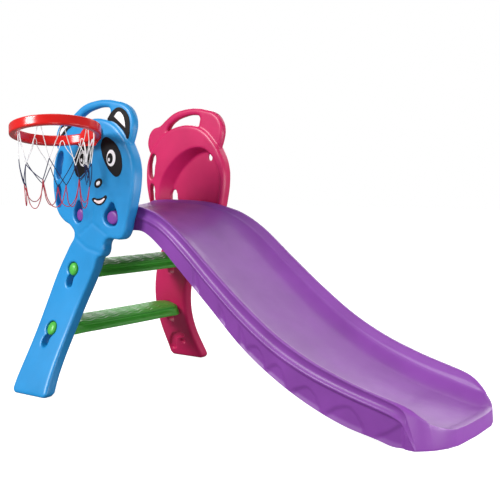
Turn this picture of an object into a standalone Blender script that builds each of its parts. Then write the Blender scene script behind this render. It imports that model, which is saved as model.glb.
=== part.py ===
"""Toddler slide with two animal-head side panels, two steps, a chute and a toy hoop.

Frame: +X towards the chute's exit, +Z up, the hoop on the -Y side, the floor at z = 0.
Each side panel is drawn flat as (x, height) with n pointing outwards, then bent to its stance.
"""

import math

import bmesh
import bpy
from mathutils import Matrix, Vector

# Overall (metres)
NAME = "toddler_slide"
ORIGIN_X = 0.4830                # middle of the length, measured from the feet's front edge
ORIGIN_Y = -0.0555               # middle of the width, hoop included
GAP = 0.0005                     # clearance between neighbouring pieces
SHARP_ANGLE = math.radians(35)

# Side panels
BODY_HALF = 0.0195               # half thickness of head, neck and leg
EAR_HALF = 0.0130                # half thickness of ears and handle
BODY_EDGE = 0.0080               # edge rounding
EAR_EDGE = 0.0090
STANCE_HEAD = 0.1985             # distance from the centre plane at head height
STANCE_LEAN = 0.020
STANCE_LEAN_Z = 0.600
STANCE_FLARE = 0.133             # extra distance at the floor
STANCE_SCALE = 0.179
STANCE_POWER = 1.363
BEND_LEVELS = [0.04, 0.08, 0.12, 0.16, 0.20, 0.24, 0.28, 0.33, 0.39, 0.46]
POCKET_DEPTH = 0.032             # recess in the inner face of each head
POCKET_POINTS = 48
CUT_MARGIN = 0.010               # how far a cutter stands out of the face it cuts
SOCKET_X = 0.058                 # forehead socket for the hoop's tongue
SOCKET_Z = 0.727
SOCKET_HALF_X = 0.0265
SOCKET_HALF_Z = 0.0085
SOCKET_DEPTH = 0.020

# Head, neck and leg outline, clockwise from the heel of the foot
BODY_OUTLINE = [
    (-0.133, 0.010, "c"), (-0.132, 0.060, "s"), (-0.128, 0.120, "s"), (-0.117, 0.200, "s"),
    (-0.097, 0.280, "s"), (-0.071, 0.348, "s"), (-0.037, 0.410, "s"), (-0.018, 0.446, "s"),
    (-0.034, 0.468, "s"), (-0.062, 0.482, "s"), (-0.090, 0.510, "s"), (-0.105, 0.560, "s"),
    (-0.108, 0.615, "s"), (-0.097, 0.668, "s"), (-0.065, 0.713, "s"), (-0.021, 0.748, "s"),
    (0.030, 0.766, "s"), (0.080, 0.768, "s"), (0.125, 0.755, "s"), (0.163, 0.725, "s"),
    (0.192, 0.685, "s"), (0.209, 0.640, "s"), (0.210, 0.590, "s"), (0.200, 0.535, "s"),
    (0.186, 0.485, "s"), (0.177, 0.452, "s"), (0.163, 0.438, "s"), (0.140, 0.437, "c"),
    (0.114, 0.436, "s"), (0.104, 0.425, "s"), (0.101, 0.402, "s"), (0.094, 0.389, "s"),
    (0.081, 0.382, "s"), (0.069, 0.350, "s"), (0.050, 0.305, "s"), (0.031, 0.260, "s"),
    (0.014, 0.205, "s"), (0.003, 0.150, "s"), (-0.001, 0.090, "s"), (0.006, 0.010, "c"),
    (-0.003, 0.000, "c"), (-0.123, 0.000, "c"),
]
# Ears and carrying handle, one plate behind the head
EAR_OUTLINE = [
    (-0.070, 0.650, "c"), (-0.103, 0.700, "s"), (-0.101, 0.735, "s"), (-0.082, 0.761, "s"),
    (-0.052, 0.770, "s"), (-0.026, 0.788, "s"), (0.008, 0.808, "s"), (0.050, 0.818, "s"),
    (0.095, 0.820, "s"), (0.135, 0.814, "s"), (0.169, 0.804, "s"), (0.193, 0.782, "s"),
    (0.202, 0.752, "s"), (0.197, 0.722, "s"), (0.186, 0.694, "s"), (0.175, 0.670, "c"),
    (0.050, 0.690, "c"),
]
HANDLE_GAP = [
    (-0.020, 0.746, "c"), (-0.015, 0.761, "s"), (0.006, 0.780, "s"), (0.048, 0.795, "s"),
    (0.092, 0.799, "s"), (0.111, 0.793, "s"), (0.110, 0.775, "s"), (0.099, 0.745, "c"),
]
# Recess in the inner face: each mouth point and the floor point that it leads to
POCKET = [
    ((-0.038, 0.478), (-0.006, 0.484)), ((-0.054, 0.505), (-0.019, 0.512)),
    ((-0.055, 0.548), (-0.020, 0.548)), ((-0.045, 0.592), (-0.011, 0.586)),
    ((-0.018, 0.636), (0.016, 0.623)), ((0.028, 0.674), (0.054, 0.656)),
    ((0.080, 0.697), (0.090, 0.678)), ((0.124, 0.698), (0.122, 0.686)),
    ((0.157, 0.680), (0.146, 0.672)), ((0.182, 0.645), (0.168, 0.640)),
    ((0.193, 0.603), (0.178, 0.600)), ((0.189, 0.555), (0.174, 0.555)),
    ((0.174, 0.505), (0.160, 0.508)), ((0.160, 0.478), (0.148, 0.486)),
    ((0.135, 0.468), (0.128, 0.478)), ((0.010, 0.466), (0.024, 0.476)),
]
GRIP_SLOTS = [
    [(-0.090, 0.608, "s"), (-0.082, 0.600, "s"), (-0.074, 0.612, "s"), (-0.069, 0.640, "s"),
     (-0.063, 0.667, "s"), (-0.068, 0.680, "s"), (-0.080, 0.678, "s"), (-0.090, 0.660, "s"),
     (-0.094, 0.632, "s")],
    [(-0.084, 0.520, "s"), (-0.076, 0.520, "s"), (-0.073, 0.548, "s"), (-0.074, 0.576, "s"),
     (-0.082, 0.586, "s"), (-0.090, 0.578, "s"), (-0.091, 0.550, "s")],
]
GRIP_BAR_TOP = 0.002             # the grip bars stop here, short of the outer face
GRIP_RELIEF_X = -0.079           # slot points behind this are moved back to clear the bar
GRIP_RELIEF_SHIFT = 0.040
ARCH_GROOVE = [
    (-0.118, 0.026, "s"), (-0.106, 0.064, "s"), (-0.074, 0.088, "s"), (-0.040, 0.086, "s"),
    (-0.042, 0.076, "s"), (-0.070, 0.070, "s"), (-0.090, 0.052, "s"), (-0.098, 0.028, "s"),
]
ARCH_DEPTH = 0.008
FOOT_HOLE = (-0.055, 0.057, 0.0085)            # x, height, radius
FACE_SLOT = (0.135, 0.669, 0.0075, 0.0115)     # far panel only: x, height, half sizes
CHEEK_HOLES = [
    [(0.100, 0.512), (0.101, 0.530), (0.116, 0.536), (0.138, 0.534), (0.150, 0.516),
     (0.151, 0.491), (0.137, 0.474), (0.116, 0.480)],
    [(-0.018, 0.529), (-0.018, 0.502), (-0.010, 0.482), (0.003, 0.477), (0.016, 0.490),
     (0.017, 0.515), (0.008, 0.533), (-0.006, 0.538)],
]
CHEEK_POINTS = 24
TAB_SCALE = 0.76                 # a cheek tab's outline, as a part of its hole's
TAB_SHIFT_X = 0.001
TAB_SHIFT_Z = -0.003
KEYHOLES = [(-0.061, 0.178), (-0.013, 0.347)]  # centres of the keyholes' round parts
KEY_R = 0.0205
KEY_DROP = 0.050
KEY_SLOT_HALF = 0.0120
KEY_LEAN = 0.20

# Chute stations: x, then height of rim, ledge, skirt foot and the bed's sides, and half width
CHUTE_KEYS = [
    (-0.075, 0.520, 0.505, 0.456, 0.508, 0.178), (-0.060, 0.534, 0.512, 0.455, 0.521, 0.178),
    (0.060, 0.537, 0.514, 0.456, 0.522, 0.178), (0.150, 0.533, 0.509, 0.460, 0.515, 0.178),
    (0.205, 0.524, 0.499, 0.457, 0.501, 0.179), (0.275, 0.503, 0.474, 0.418, 0.469, 0.190),
    (0.350, 0.459, 0.424, 0.360, 0.415, 0.199), (0.450, 0.378, 0.338, 0.274, 0.328, 0.203),
    (0.550, 0.299, 0.257, 0.186, 0.246, 0.206), (0.650, 0.229, 0.191, 0.118, 0.177, 0.208),
    (0.750, 0.177, 0.144, 0.066, 0.123, 0.209), (0.850, 0.140, 0.112, 0.029, 0.084, 0.210),
    (0.940, 0.114, 0.089, 0.010, 0.056, 0.210), (0.975, 0.1035, 0.0785, 0.002, 0.0425, 0.209),
    (0.998, 0.0925, 0.0675, 0.000, 0.0355, 0.206), (1.006, 0.085, 0.061, 0.000, 0.0360, 0.2045),
    (1.0155, 0.069, 0.048, 0.000, 0.0395, 0.2025), (1.0195, 0.057, 0.040, 0.000, 0.0365, 0.202),
    (1.0235, 0.041, 0.029, 0.000, 0.0270, 0.2015), (1.0270, 0.006, 0.0045, 0.000, 0.0055, 0.201),
]
CHUTE_SPACING = 0.045            # distance between the drawn sections
CHUTE_WALL = 0.009
CHUTE_SAG = 0.006                # the bed's middle lies this much below its sides
CHUTE_SAG_END = 1.000
CHUTE_SAG_RUN = 0.080
SKIRT_RECESS = 0.005             # the skirt lies this far behind the bead at its top
SKIRT_RECESS_MORE = 0.004        # added along the last part of the run
SKIRT_DEEPENS = (0.600, 0.900)   # the recess grows between these stations
SKIRT_ENDS = (0.990, 1.006)      # and runs out between these
SKIRT_HOLLOW = 0.0004            # the skirt curves inwards this much at half height
END_SWELL = 0.0010               # the lip's side curves outwards this much
SKIRT_WALL = 0.008
CHUTE_PAD_START = 0.960          # from here to the exit the underside is closed and flat
CHUTE_PAD_RUN = 0.015
LIP_START = 0.900                # from here the middle runs ahead of the corners
LIP_CREST = 1.0155
LIP_END = 1.027
LIP_REACH = 0.0835
LIP_TUCK = 0.0125                # the lip's foot lies this far behind its crest
LIP_POWER = 4.5
LEDGE_LOW = 0.050                # skirts lower than this get a smaller bead
BEAD_FOOT = 0.012                # the bead under the ledge: its lower, outer and upper edge
BEAD_EDGE = 0.006
BEAD_TOP = 0.001
WAIST = 0.007                    # the wall above the bead lies this far behind it
RIM_ROUND = 0.010                # inset of the rim's crest
RIM_WIDTH = 0.031
RIM_FALL = 0.017                 # the rim's top slopes down by this much towards the bed
RIM_DEPTH = 0.046                # where the trough is shallower the rim falls less
BED_WALL = [(0.0345, 0.50), (0.043, 0.62), (0.058, 0.80), (0.084, 0.98)]  # inset, part of depth
BED_MIDDLE = 0.30                # part of the half width
CHUTE_TAB_ROOT = 0.1665          # cheek tabs: where they leave the chute and where they end
CHUTE_TAB_REACH = 0.2095
CHUTE_TAB_ROUND = 0.004

# Steps: x of the middle, height of the middle
STEPS = [("lower_step", -0.066, 0.184, 0), ("upper_step", -0.010, 0.350, 1)]
STEP_BOW = 0.008
STEP_SECTION = [
    (0.047, 0.000), (0.045, 0.005), (0.036, 0.010), (0.022, 0.0145), (0.006, 0.018),
    (-0.012, 0.019), (-0.028, 0.016), (-0.039, 0.011), (-0.044, 0.004), (-0.045, -0.005),
    (-0.044, -0.015), (-0.038, -0.022), (-0.026, -0.025), (-0.010, -0.0255),
    (0.010, -0.0255), (0.028, -0.025), (0.040, -0.023), (0.045, -0.018), (0.046, -0.012),
    (0.045, -0.008), (0.040, -0.006), (0.040, -0.003),
]
STEP_STATIONS = [0.0, 0.2, 0.4, 0.6, 0.8, 0.92, 0.98, 1.0]
STEP_TAB_HALF_X = 0.0160
STEP_TAB_HALF_Z = 0.0185
STEP_END_SHRINK = 0.10           # how much each tread narrows in its last tenth

# Hoop
HOOP_X = 0.0560
HOOP_Y = -0.3520
HOOP_Z = 0.7295
HOOP_R = 0.1200
HOOP_WIDTH = 0.018
HOOP_HEIGHT = 0.0275
HOOP_TILT = math.radians(11.4)     # its outer front edge stands high
HOOP_TILT_LINE = math.radians(35.7)
HOOP_ROLL = math.radians(2.5)
HOOP_CHAMFER = 0.004
HOOP_SEGMENTS = 56
ARM_HALF_X = 0.033
ARM_TIP_HALF_X = 0.036
ARM_FOOT_HALF_Z = 0.0175
ARM_FOOT_THICK = 0.0055
ARM_TIP_HALF_Z = 0.014
ARM_TIP_DROP = 0.0245            # the arm meets the ring's low inner edge
ARM_TIP_OVERLAP = 0.010
ARM_CHAMFER = 0.3                # part of the half height
TONGUE_SHORT = 0.002
TONGUE_CLEAR = 0.0006
ARM_FACE_GAP = 0.0017

# Net bands: name, colour, top height, top radius, foot height, foot radius
NET_WALL = 0.0016
NET_SEGMENTS = 40
NET_BANDS = [
    ("net_white_cords", "white", 0.7600, 0.1030, 0.6460, 0.0920),
    ("net_navy_cords", "navy", 0.6455, 0.0920, 0.5880, 0.0870),
    ("net_red_cords", "red", 0.5875, 0.0870, 0.5300, 0.0790),
]

# Stickers on the outer face of the hoop side's panel: outline and which surface they lie on
STICKER_THICK = 0.0008
STICKERS = [
    ("sticker_front_eye", "body", [
        (0.103, 0.716, "s"), (0.089, 0.700, "s"), (0.091, 0.675, "s"), (0.105, 0.645, "s"),
        (0.128, 0.618, "s"), (0.150, 0.608, "s"), (0.165, 0.622, "s"), (0.168, 0.650, "s"),
        (0.157, 0.682, "s"), (0.130, 0.708, "s")]),
    ("sticker_rear_eye", "body", [
        (0.045, 0.706, "s"), (0.058, 0.690, "s"), (0.056, 0.668, "s"), (0.042, 0.640, "s"),
        (0.020, 0.616, "s"), (-0.001, 0.607, "s"), (-0.014, 0.622, "s"), (-0.017, 0.648, "s"),
        (-0.007, 0.678, "s"), (0.018, 0.700, "s")]),
    ("sticker_nose", "body", [
        (0.0926, 0.5991, "s"), (0.0840, 0.6038, "s"), (0.0722, 0.6007, "s"),
        (0.0641, 0.5916, "s"), (0.0644, 0.5819, "s"), (0.0730, 0.5772, "s"),
        (0.0848, 0.5803, "s"), (0.0929, 0.5894, "s")]),
    ("sticker_mouth", "body", [
        (0.0530, 0.5470, "s"), (0.0570, 0.5525, "s"), (0.0700, 0.5500, "s"),
        (0.0840, 0.5500, "s"), (0.0980, 0.5565, "s"), (0.1085, 0.5600, "s"),
        (0.1110, 0.5540, "s"), (0.1050, 0.5420, "s"), (0.0930, 0.5330, "s"),
        (0.0780, 0.5305, "s"), (0.0630, 0.5370, "s")]),
    ("sticker_front_ear", "ear", [
        (0.121, 0.766, "s"), (0.126, 0.780, "s"), (0.142, 0.793, "s"), (0.160, 0.793, "s"),
        (0.177, 0.781, "s"), (0.187, 0.760, "s"), (0.186, 0.738, "s"), (0.179, 0.721, "s"),
        (0.160, 0.744, "s"), (0.141, 0.758, "s")]),
    ("sticker_rear_ear", "ear", [
        (-0.086, 0.714, "s"), (-0.090, 0.728, "s"), (-0.082, 0.744, "s"), (-0.066, 0.756, "s"),
        (-0.048, 0.758, "s"), (-0.034, 0.753, "s"), (-0.050, 0.741, "s"), (-0.069, 0.724, "s")]),
]

COLOURS = {
    "blue": (0.035, 0.30, 0.75, 1.0),
    "pink": (0.68, 0.03, 0.17, 1.0),
    "purple": (0.20, 0.045, 0.32, 1.0),
    "green": (0.07, 0.50, 0.08, 1.0),
    "red": (0.75, 0.015, 0.015, 1.0),
    "white": (0.85, 0.85, 0.86, 1.0),
    "navy": (0.03, 0.05, 0.20, 1.0),
    "black": (0.02, 0.015, 0.02, 1.0),
}


def new_collection(name):
    old = bpy.data.collections.get(name)
    if old:
        bpy.data.collections.remove(old)
    made = bpy.data.collections.new(name)
    bpy.context.scene.collection.children.link(made)
    return made


def material(node, colour, roughness):
    made = bpy.data.materials.new(node)
    made.use_nodes = True
    shader = made.node_tree.nodes["Principled BSDF"]
    shader.inputs["Base Color"].default_value = COLOURS[colour]
    shader.inputs["Roughness"].default_value = roughness
    made.diffuse_color = COLOURS[colour]
    return made


def stance(z):
    """Distance of a panel's middle surface from the centre plane at height z."""
    flare = STANCE_FLARE * math.exp(-((max(z, 0.0) / STANCE_SCALE) ** STANCE_POWER))
    return STANCE_HEAD - STANCE_LEAN * (z - STANCE_LEAN_Z) + flare


def flat_solid(name, outlines, low, high, edge, resolution=2):
    """Solid between n = low and n = high; the first outline is the rim, the others are holes."""
    curve = bpy.data.curves.new(name, "CURVE")
    curve.dimensions = "2D"
    curve.fill_mode = "BOTH"
    curve.extrude = (high - low) / 2 - edge
    curve.bevel_depth = edge
    curve.bevel_resolution = 1 if edge else 0
    curve.offset = -edge
    curve.resolution_u = resolution
    for outline in outlines:
        spline = curve.splines.new("BEZIER")
        spline.bezier_points.add(len(outline) - 1)
        for point, (x, z, kind) in zip(spline.bezier_points, outline):
            point.co = (x, z, 0.0)
            handle = "VECTOR" if kind == "c" else "AUTO"
            point.handle_left_type = handle
            point.handle_right_type = handle
        spline.use_cyclic_u = True
    holder = bpy.data.objects.new(name, curve)
    cutters.objects.link(holder)
    bpy.context.view_layer.update()
    graph = bpy.context.evaluated_depsgraph_get()
    mesh = bpy.data.meshes.new_from_object(holder.evaluated_get(graph))
    bpy.data.objects.remove(holder, do_unlink=True)
    work = bmesh.new()
    work.from_mesh(mesh)
    bmesh.ops.remove_doubles(work, verts=work.verts, dist=0.00002)
    bmesh.ops.dissolve_degenerate(work, edges=work.edges, dist=0.00002)
    bmesh.ops.recalc_face_normals(work, faces=work.faces)
    bmesh.ops.translate(work, verts=work.verts, vec=(0, 0, (low + high) / 2))
    work.to_mesh(mesh)
    work.free()
    made = bpy.data.objects.new(name, mesh)
    cutters.objects.link(made)
    return made


def circle_outline(x, z, rx, rz, count=10):
    turn = 2 * math.pi / count
    return [(x + rx * math.cos(i * turn), z + rz * math.sin(i * turn), "s") for i in range(count)]


def smooth_ring(points, count):
    """A closed smooth curve through the points, read off at even steps of its index."""
    out = []
    total = len(points)
    for k in range(count):
        t = k * total / count
        i = int(t)
        u = t - i
        p0, p1, p2, p3 = (Vector(points[(i + d) % total]) for d in (-1, 0, 1, 2))
        out.append(0.5 * ((2 * p1) + (p2 - p0) * u + (2 * p0 - 5 * p1 + 4 * p2 - p3) * u * u
                          + (3 * p1 - p0 - 3 * p2 + p3) * u ** 3))
    return out


def smooth_step(low, high, value):
    t = min(1.0, max(0.0, (value - low) / (high - low)))
    return t * t * (3 - 2 * t)


def keyhole(x, z):
    """Round eye above a narrower slot that leans with the leg."""
    foot = z - KEY_DROP
    points = []
    for i in range(9):
        angle = math.radians(-50 + 280 * i / 8)
        points.append((x + KEY_R * math.cos(angle), z + KEY_R * math.sin(angle), "s"))
    drop_x = x - KEY_LEAN * KEY_DROP
    points += [(drop_x - KEY_SLOT_HALF + 0.003, z - 0.024, "s")]
    for i in range(5):
        angle = math.radians(180 + 180 * i / 4)
        points.append((drop_x + KEY_SLOT_HALF * math.cos(angle),
                       foot + 0.010 + KEY_SLOT_HALF * math.sin(angle), "s"))
    points += [(drop_x + KEY_SLOT_HALF + 0.003, z - 0.024, "s")]
    return points


def boolean(target, tool, operation):
    modifier = target.modifiers.new("cut", "BOOLEAN")
    modifier.operation = operation
    modifier.solver = "EXACT"
    modifier.object = tool
    bpy.context.view_layer.update()
    graph = bpy.context.evaluated_depsgraph_get()
    mesh = bpy.data.meshes.new_from_object(target.evaluated_get(graph))
    target.modifiers.clear()
    old = target.data
    target.data = mesh
    bpy.data.meshes.remove(old)
    tool.hide_render = True
    tool.display_type = "WIRE"


def bend_to_stance(obj, side):
    """Turn a flat (x, height, n) solid into a standing panel on the given side."""
    work = bmesh.new()
    work.from_mesh(obj.data)
    for level in BEND_LEVELS:
        everything = list(work.verts) + list(work.edges) + list(work.faces)
        bmesh.ops.bisect_plane(work, geom=everything, dist=1e-6, plane_co=(0, level, 0),
                               plane_no=(0, 1, 0))
    bmesh.ops.triangulate(work, faces=work.faces)
    bmesh.ops.remove_doubles(work, verts=work.verts, dist=0.00002)
    bmesh.ops.dissolve_degenerate(work, edges=work.edges, dist=0.00002)
    for vertex in work.verts:
        x, height, n = vertex.co
        vertex.co = (x, side * (stance(height) + n), height)
    if side > 0:
        bmesh.ops.reverse_faces(work, faces=work.faces)
    work.to_mesh(obj.data)
    work.free()


def finish(obj, node, colour, roughness, parent=None):
    """Name the object, hang it on its empty and give it its material."""
    obj.name = node
    obj.data.name = node
    obj.parent = parent or row_origin
    obj.data.materials.clear()
    obj.data.materials.append(material(node, colour, roughness))
    obj.data.shade_smooth()
    obj.data.set_sharp_from_angle(angle=SHARP_ANGLE)
    if obj.name in cutters.objects:
        cutters.objects.unlink(obj)
    parts.objects.link(obj)


def new_empty(name, location, parent=None):
    made = bpy.data.objects.new(name, None)
    made.empty_display_size = 0.05
    made.location = location
    made.parent = parent
    parts.objects.link(made)
    return made


def through(name, outline):
    """Cutter that goes right through a panel."""
    return flat_solid(name, [outline], -BODY_HALF - CUT_MARGIN, BODY_HALF + CUT_MARGIN, 0.0)


def blind(name, outline, depth):
    """Cutter that goes into a panel's inner face."""
    return flat_solid(name, [outline], -BODY_HALF - CUT_MARGIN, -BODY_HALF + depth, 0.0)


def pocket_cutter():
    """Cutter with sloping walls for the recess in a head's inner face."""
    mouth = smooth_ring([m for m, f in POCKET], POCKET_POINTS)
    floor = smooth_ring([f for m, f in POCKET], POCKET_POINTS)
    rings = [[(m.x, m.y, -BODY_HALF - CUT_MARGIN) for m in mouth],
             [(m.x, m.y, -BODY_HALF) for m in mouth],
             [(f.x, f.y, -BODY_HALF + POCKET_DEPTH) for f in floor]]
    return loft("pocket", rings)


def grip_relief(outline):
    """Cutter that sets a grip bar back from the panel's outer face."""
    moved = [(x if x > GRIP_RELIEF_X else x - GRIP_RELIEF_SHIFT, z, kind) for x, z, kind in outline]
    return flat_solid("relief", [moved], GRIP_BAR_TOP, BODY_HALF + CUT_MARGIN, 0.0)


def build_panel(node, side, colour):
    """Side panel: head, neck and leg joined to the ears and handle, then all its openings."""
    body = flat_solid(node, [BODY_OUTLINE], -BODY_HALF, BODY_HALF, BODY_EDGE)
    ears = flat_solid("ears", [EAR_OUTLINE, HANDLE_GAP], -EAR_HALF, EAR_HALF, EAR_EDGE)
    boolean(body, ears, "UNION")
    tools = [pocket_cutter()]
    foot_x, foot_z, foot_r = FOOT_HOLE
    tools.append(blind("foot_hole", circle_outline(foot_x, foot_z, foot_r, foot_r), ARCH_DEPTH))
    tools.append(blind("arch_groove", ARCH_GROOVE, ARCH_DEPTH))
    tools += [through("cheek", [(x, z, "s") for x, z in hole]) for hole in CHEEK_HOLES]
    tools += [through("keyhole", keyhole(x, z)) for x, z in KEYHOLES]
    tools += [through("grip_slot", outline) for outline in GRIP_SLOTS]
    tools += [grip_relief(outline) for outline in GRIP_SLOTS]
    if side > 0:
        x, z, half_x, half_z = FACE_SLOT
        tools.append(through("face_slot", circle_outline(x, z, half_x, half_z)))
    else:
        socket = [(SOCKET_X + i * SOCKET_HALF_X, SOCKET_Z + j * SOCKET_HALF_Z, "c")
                  for i, j in ((-1, -1), (1, -1), (1, 1), (-1, 1))]
        tools.append(flat_solid("socket", [socket], BODY_HALF - SOCKET_DEPTH,
                                BODY_HALF + CUT_MARGIN, 0.0))
    for tool in tools:
        boolean(body, tool, "DIFFERENCE")
    bend_to_stance(body, side)
    finish(body, node, colour, 0.35)


def build_sticker(node, surface, outline):
    base = (BODY_HALF if surface == "body" else EAR_HALF) + GAP
    plate = flat_solid(node, [outline], base, base + STICKER_THICK, 0.0, 2)
    bend_to_stance(plate, -1)
    finish(plate, node, "black", 0.3)


def loft(name, rings):
    """Closed solid through rings of equal point count, capped at both ends."""
    work = bmesh.new()
    rows = [[work.verts.new(point) for point in ring] for ring in rings]
    count = len(rows[0])
    for near, far in zip(rows, rows[1:]):
        for i in range(count):
            j = (i + 1) % count
            work.faces.new((near[i], near[j], far[j], far[i]))
    work.faces.new(rows[0])
    work.faces.new(rows[-1])
    bmesh.ops.recalc_face_normals(work, faces=work.faces)
    mesh = bpy.data.meshes.new(name)
    work.to_mesh(mesh)
    work.free()
    made = bpy.data.objects.new(name, mesh)
    cutters.objects.link(made)
    return made


def chute_row(x):
    """Rim, ledge, foot, bed and half width at x, read off a smooth curve through the stations."""
    last = len(CHUTE_KEYS) - 1
    i = max(k for k in range(last) if CHUTE_KEYS[k][0] <= x + 1e-9)
    left, right = CHUTE_KEYS[i], CHUTE_KEYS[i + 1]
    before, after = CHUTE_KEYS[max(i - 1, 0)], CHUTE_KEYS[min(i + 2, last)]
    span = right[0] - left[0]
    t = (x - left[0]) / span
    values = []
    for a, b, c, d in zip(before[1:], left[1:], right[1:], after[1:]):
        rise_in = (c - a) / (right[0] - before[0]) * span
        rise_out = (d - b) / (after[0] - left[0]) * span
        values.append(b * (2 * t ** 3 - 3 * t ** 2 + 1) + rise_in * (t ** 3 - 2 * t ** 2 + t)
                      + c * (3 * t ** 2 - 2 * t ** 3) + rise_out * (t ** 3 - t ** 2))
    return values


def chute_section(x):
    """The chute's closed cross-section at x, from one skirt's foot over the bed and back below."""
    rim, ledge, foot, bed, half = chute_row(x)
    foot = max(foot, 0.0)
    depth = rim - bed
    step = rim - ledge
    full = min(1.0, depth / RIM_DEPTH)
    low = min(1.0, (ledge - foot) / LEDGE_LOW)
    sag = CHUTE_SAG * min(1.0, max(0.0, (CHUTE_SAG_END - x) / CHUTE_SAG_RUN))
    recess = SKIRT_RECESS + SKIRT_RECESS_MORE * smooth_step(*SKIRT_DEEPENS, x)
    ending = smooth_step(*SKIRT_ENDS, x)
    skirt = half - recess * low * (1 - ending)
    swell = END_SWELL * ending
    waist = low * (1 - ending)
    top = [
        (skirt - swell, foot), (skirt - SKIRT_HOLLOW, (foot + ledge) / 2),
        (skirt, ledge - BEAD_FOOT * low),
        (half - swell * 0.3, ledge - BEAD_EDGE * low), (half - swell, ledge + BEAD_TOP * low),
        (half - 0.001 - swell - WAIST * waist, ledge + step * 0.14),
        (half - 0.002 - swell - (WAIST - 0.002) * waist, ledge + step * 0.75),
        (half - 0.003 - swell, rim - step * 0.03), (half - RIM_ROUND, rim),
        (half - RIM_WIDTH, rim - RIM_FALL * full),
    ]
    top += [(half - inset, rim - part * depth) for inset, part in BED_WALL]
    top.append((half * BED_MIDDLE, bed - sag))
    under = [
        (half * 0.5, bed - sag * 0.5 - CHUTE_WALL), (half - 0.064, bed - CHUTE_WALL),
        (half - 0.036, rim - depth * 0.8 - 0.004), (half - 0.020, ledge - 0.012),
        (skirt - SKIRT_WALL - 0.001, (foot + ledge) / 2 - 0.006),
    ]
    closed = min(1.0, max(0.0, (x - CHUTE_PAD_START) / CHUTE_PAD_RUN))
    under = [(y, max(z, foot + 0.0005) * (1 - closed) + foot * closed) for y, z in under]
    middle_top = (0.0, bed - sag - 0.0002)
    middle_under = (0.0, (middle_top[1] - CHUTE_WALL) * (1 - closed) + foot * closed)
    skirt_inside = (skirt - SKIRT_WALL, foot)
    near = top + [middle_top]
    far = [(-y, z) for y, z in reversed(top)]
    below = [(-skirt_inside[0], foot)] + [(-y, z) for y, z in reversed(under)]
    below += [middle_under] + under + [skirt_inside]
    outside = [(x + lip_reach(x) * lip_plan(y, half), y, z) for y, z in near + far]
    return outside + [(x + foot_reach(x) * lip_plan(y, half), y, z) for y, z in below]


def lip_plan(y, half):
    """Share of the exit's forward reach at y: all of it in the middle, none at the corners."""
    return 1 - min(1.0, abs(y) / half) ** LIP_POWER


def lip_reach(x):
    """How far the outside's middle runs ahead; beyond the crest it stays nearly upright."""
    ramp = min(1.0, max(0.0, (x - LIP_START) / (LIP_CREST - LIP_START)))
    return LIP_REACH * ramp * ramp - LIP_TUCK * max(0.0, (x - LIP_CREST) / (LIP_END - LIP_CREST))


def foot_reach(x):
    """The same for the underside."""
    ramp = max(0.0, (x - LIP_START) / (LIP_END - LIP_START))
    return (LIP_REACH - LIP_TUCK) * ramp * ramp


def build_chute():
    places = []
    for left, right in zip(CHUTE_KEYS, CHUTE_KEYS[1:]):
        count = math.ceil((right[0] - left[0]) / CHUTE_SPACING)
        places += [left[0] + (right[0] - left[0]) * k / count for k in range(count)]
    places.append(CHUTE_KEYS[-1][0])
    chute = loft("slide_chute", [chute_section(x) for x in places])
    stages = [(CHUTE_TAB_ROOT, TAB_SCALE), (CHUTE_TAB_REACH - CHUTE_TAB_ROUND, TAB_SCALE),
              (CHUTE_TAB_REACH, TAB_SCALE * 0.80)]
    for side in (-1, 1):
        for hole in CHEEK_HOLES:
            middle = sum((Vector(p) for p in hole), Vector((0, 0))) / len(hole)
            outline = smooth_ring([Vector(p) - middle for p in hole], CHEEK_POINTS)
            rings = [[(middle.x + TAB_SHIFT_X + p.x * scale, side * y,
                       middle.y + TAB_SHIFT_Z + p.y * scale) for p in outline]
                     for y, scale in stages]
            boolean(chute, loft("cheek_tab", rings), "UNION")
    finish(chute, "slide_chute", "purple", 0.35)


def build_step(node, x0, z0, key):
    """Tread with a bowed front, drawn down at each end to a tab that fills a keyhole's eye."""
    tab_x, tab_z = KEYHOLES[key]
    angles = [math.atan2(z, x) for x, z in STEP_SECTION]

    def tread(side, s):
        ring = []
        shrink = 1.0 - STEP_END_SHRINK * max(0.0, (s - 0.9) / 0.1)
        for x, z in STEP_SECTION:
            height = z0 + z * shrink
            inner = stance(height) - BODY_HALF - GAP
            ring.append((x0 + x * shrink + STEP_BOW * (1 - s * s), side * s * inner, height))
        return ring

    def tab(side, reach, scale):
        ring = []
        for angle in angles:
            height = tab_z + STEP_TAB_HALF_Z * scale * math.sin(angle)
            ring.append((tab_x + STEP_TAB_HALF_X * scale * math.cos(angle),
                         side * (stance(height) + reach), height))
        return ring

    root = -BODY_HALF - GAP
    dome = [(BODY_HALF - 0.006, 1.0), (BODY_HALF - 0.001, 0.86), (BODY_HALF + 0.002, 0.5)]
    rings = [tab(-1, reach, scale) for reach, scale in reversed(dome)]
    rings.append(tab(-1, root, 1.0))
    rings += [tread(-1, s) for s in reversed(STEP_STATIONS)]
    rings += [tread(1, s) for s in STEP_STATIONS[1:]]
    rings.append(tab(1, root, 1.0))
    rings += [tab(1, reach, scale) for reach, scale in dome]
    finish(loft(node, rings), node, "green", 0.35)


def turned(name, profile, closed, segments):
    """Profile of (radius, height) points turned about Z with a Screw modifier."""
    work = bmesh.new()
    verts = [work.verts.new((radius, 0, height)) for radius, height in profile]
    for a, b in zip(verts, verts[1:]):
        work.edges.new((a, b))
    if closed:
        work.edges.new((verts[-1], verts[0]))
    mesh = bpy.data.meshes.new(name)
    work.to_mesh(mesh)
    work.free()
    made = bpy.data.objects.new(name, mesh)
    cutters.objects.link(made)
    screw = made.modifiers.new("turn", "SCREW")
    screw.steps = segments
    screw.render_steps = segments
    screw.use_merge_vertices = True
    screw.merge_threshold = 0.00005
    return made


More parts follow.
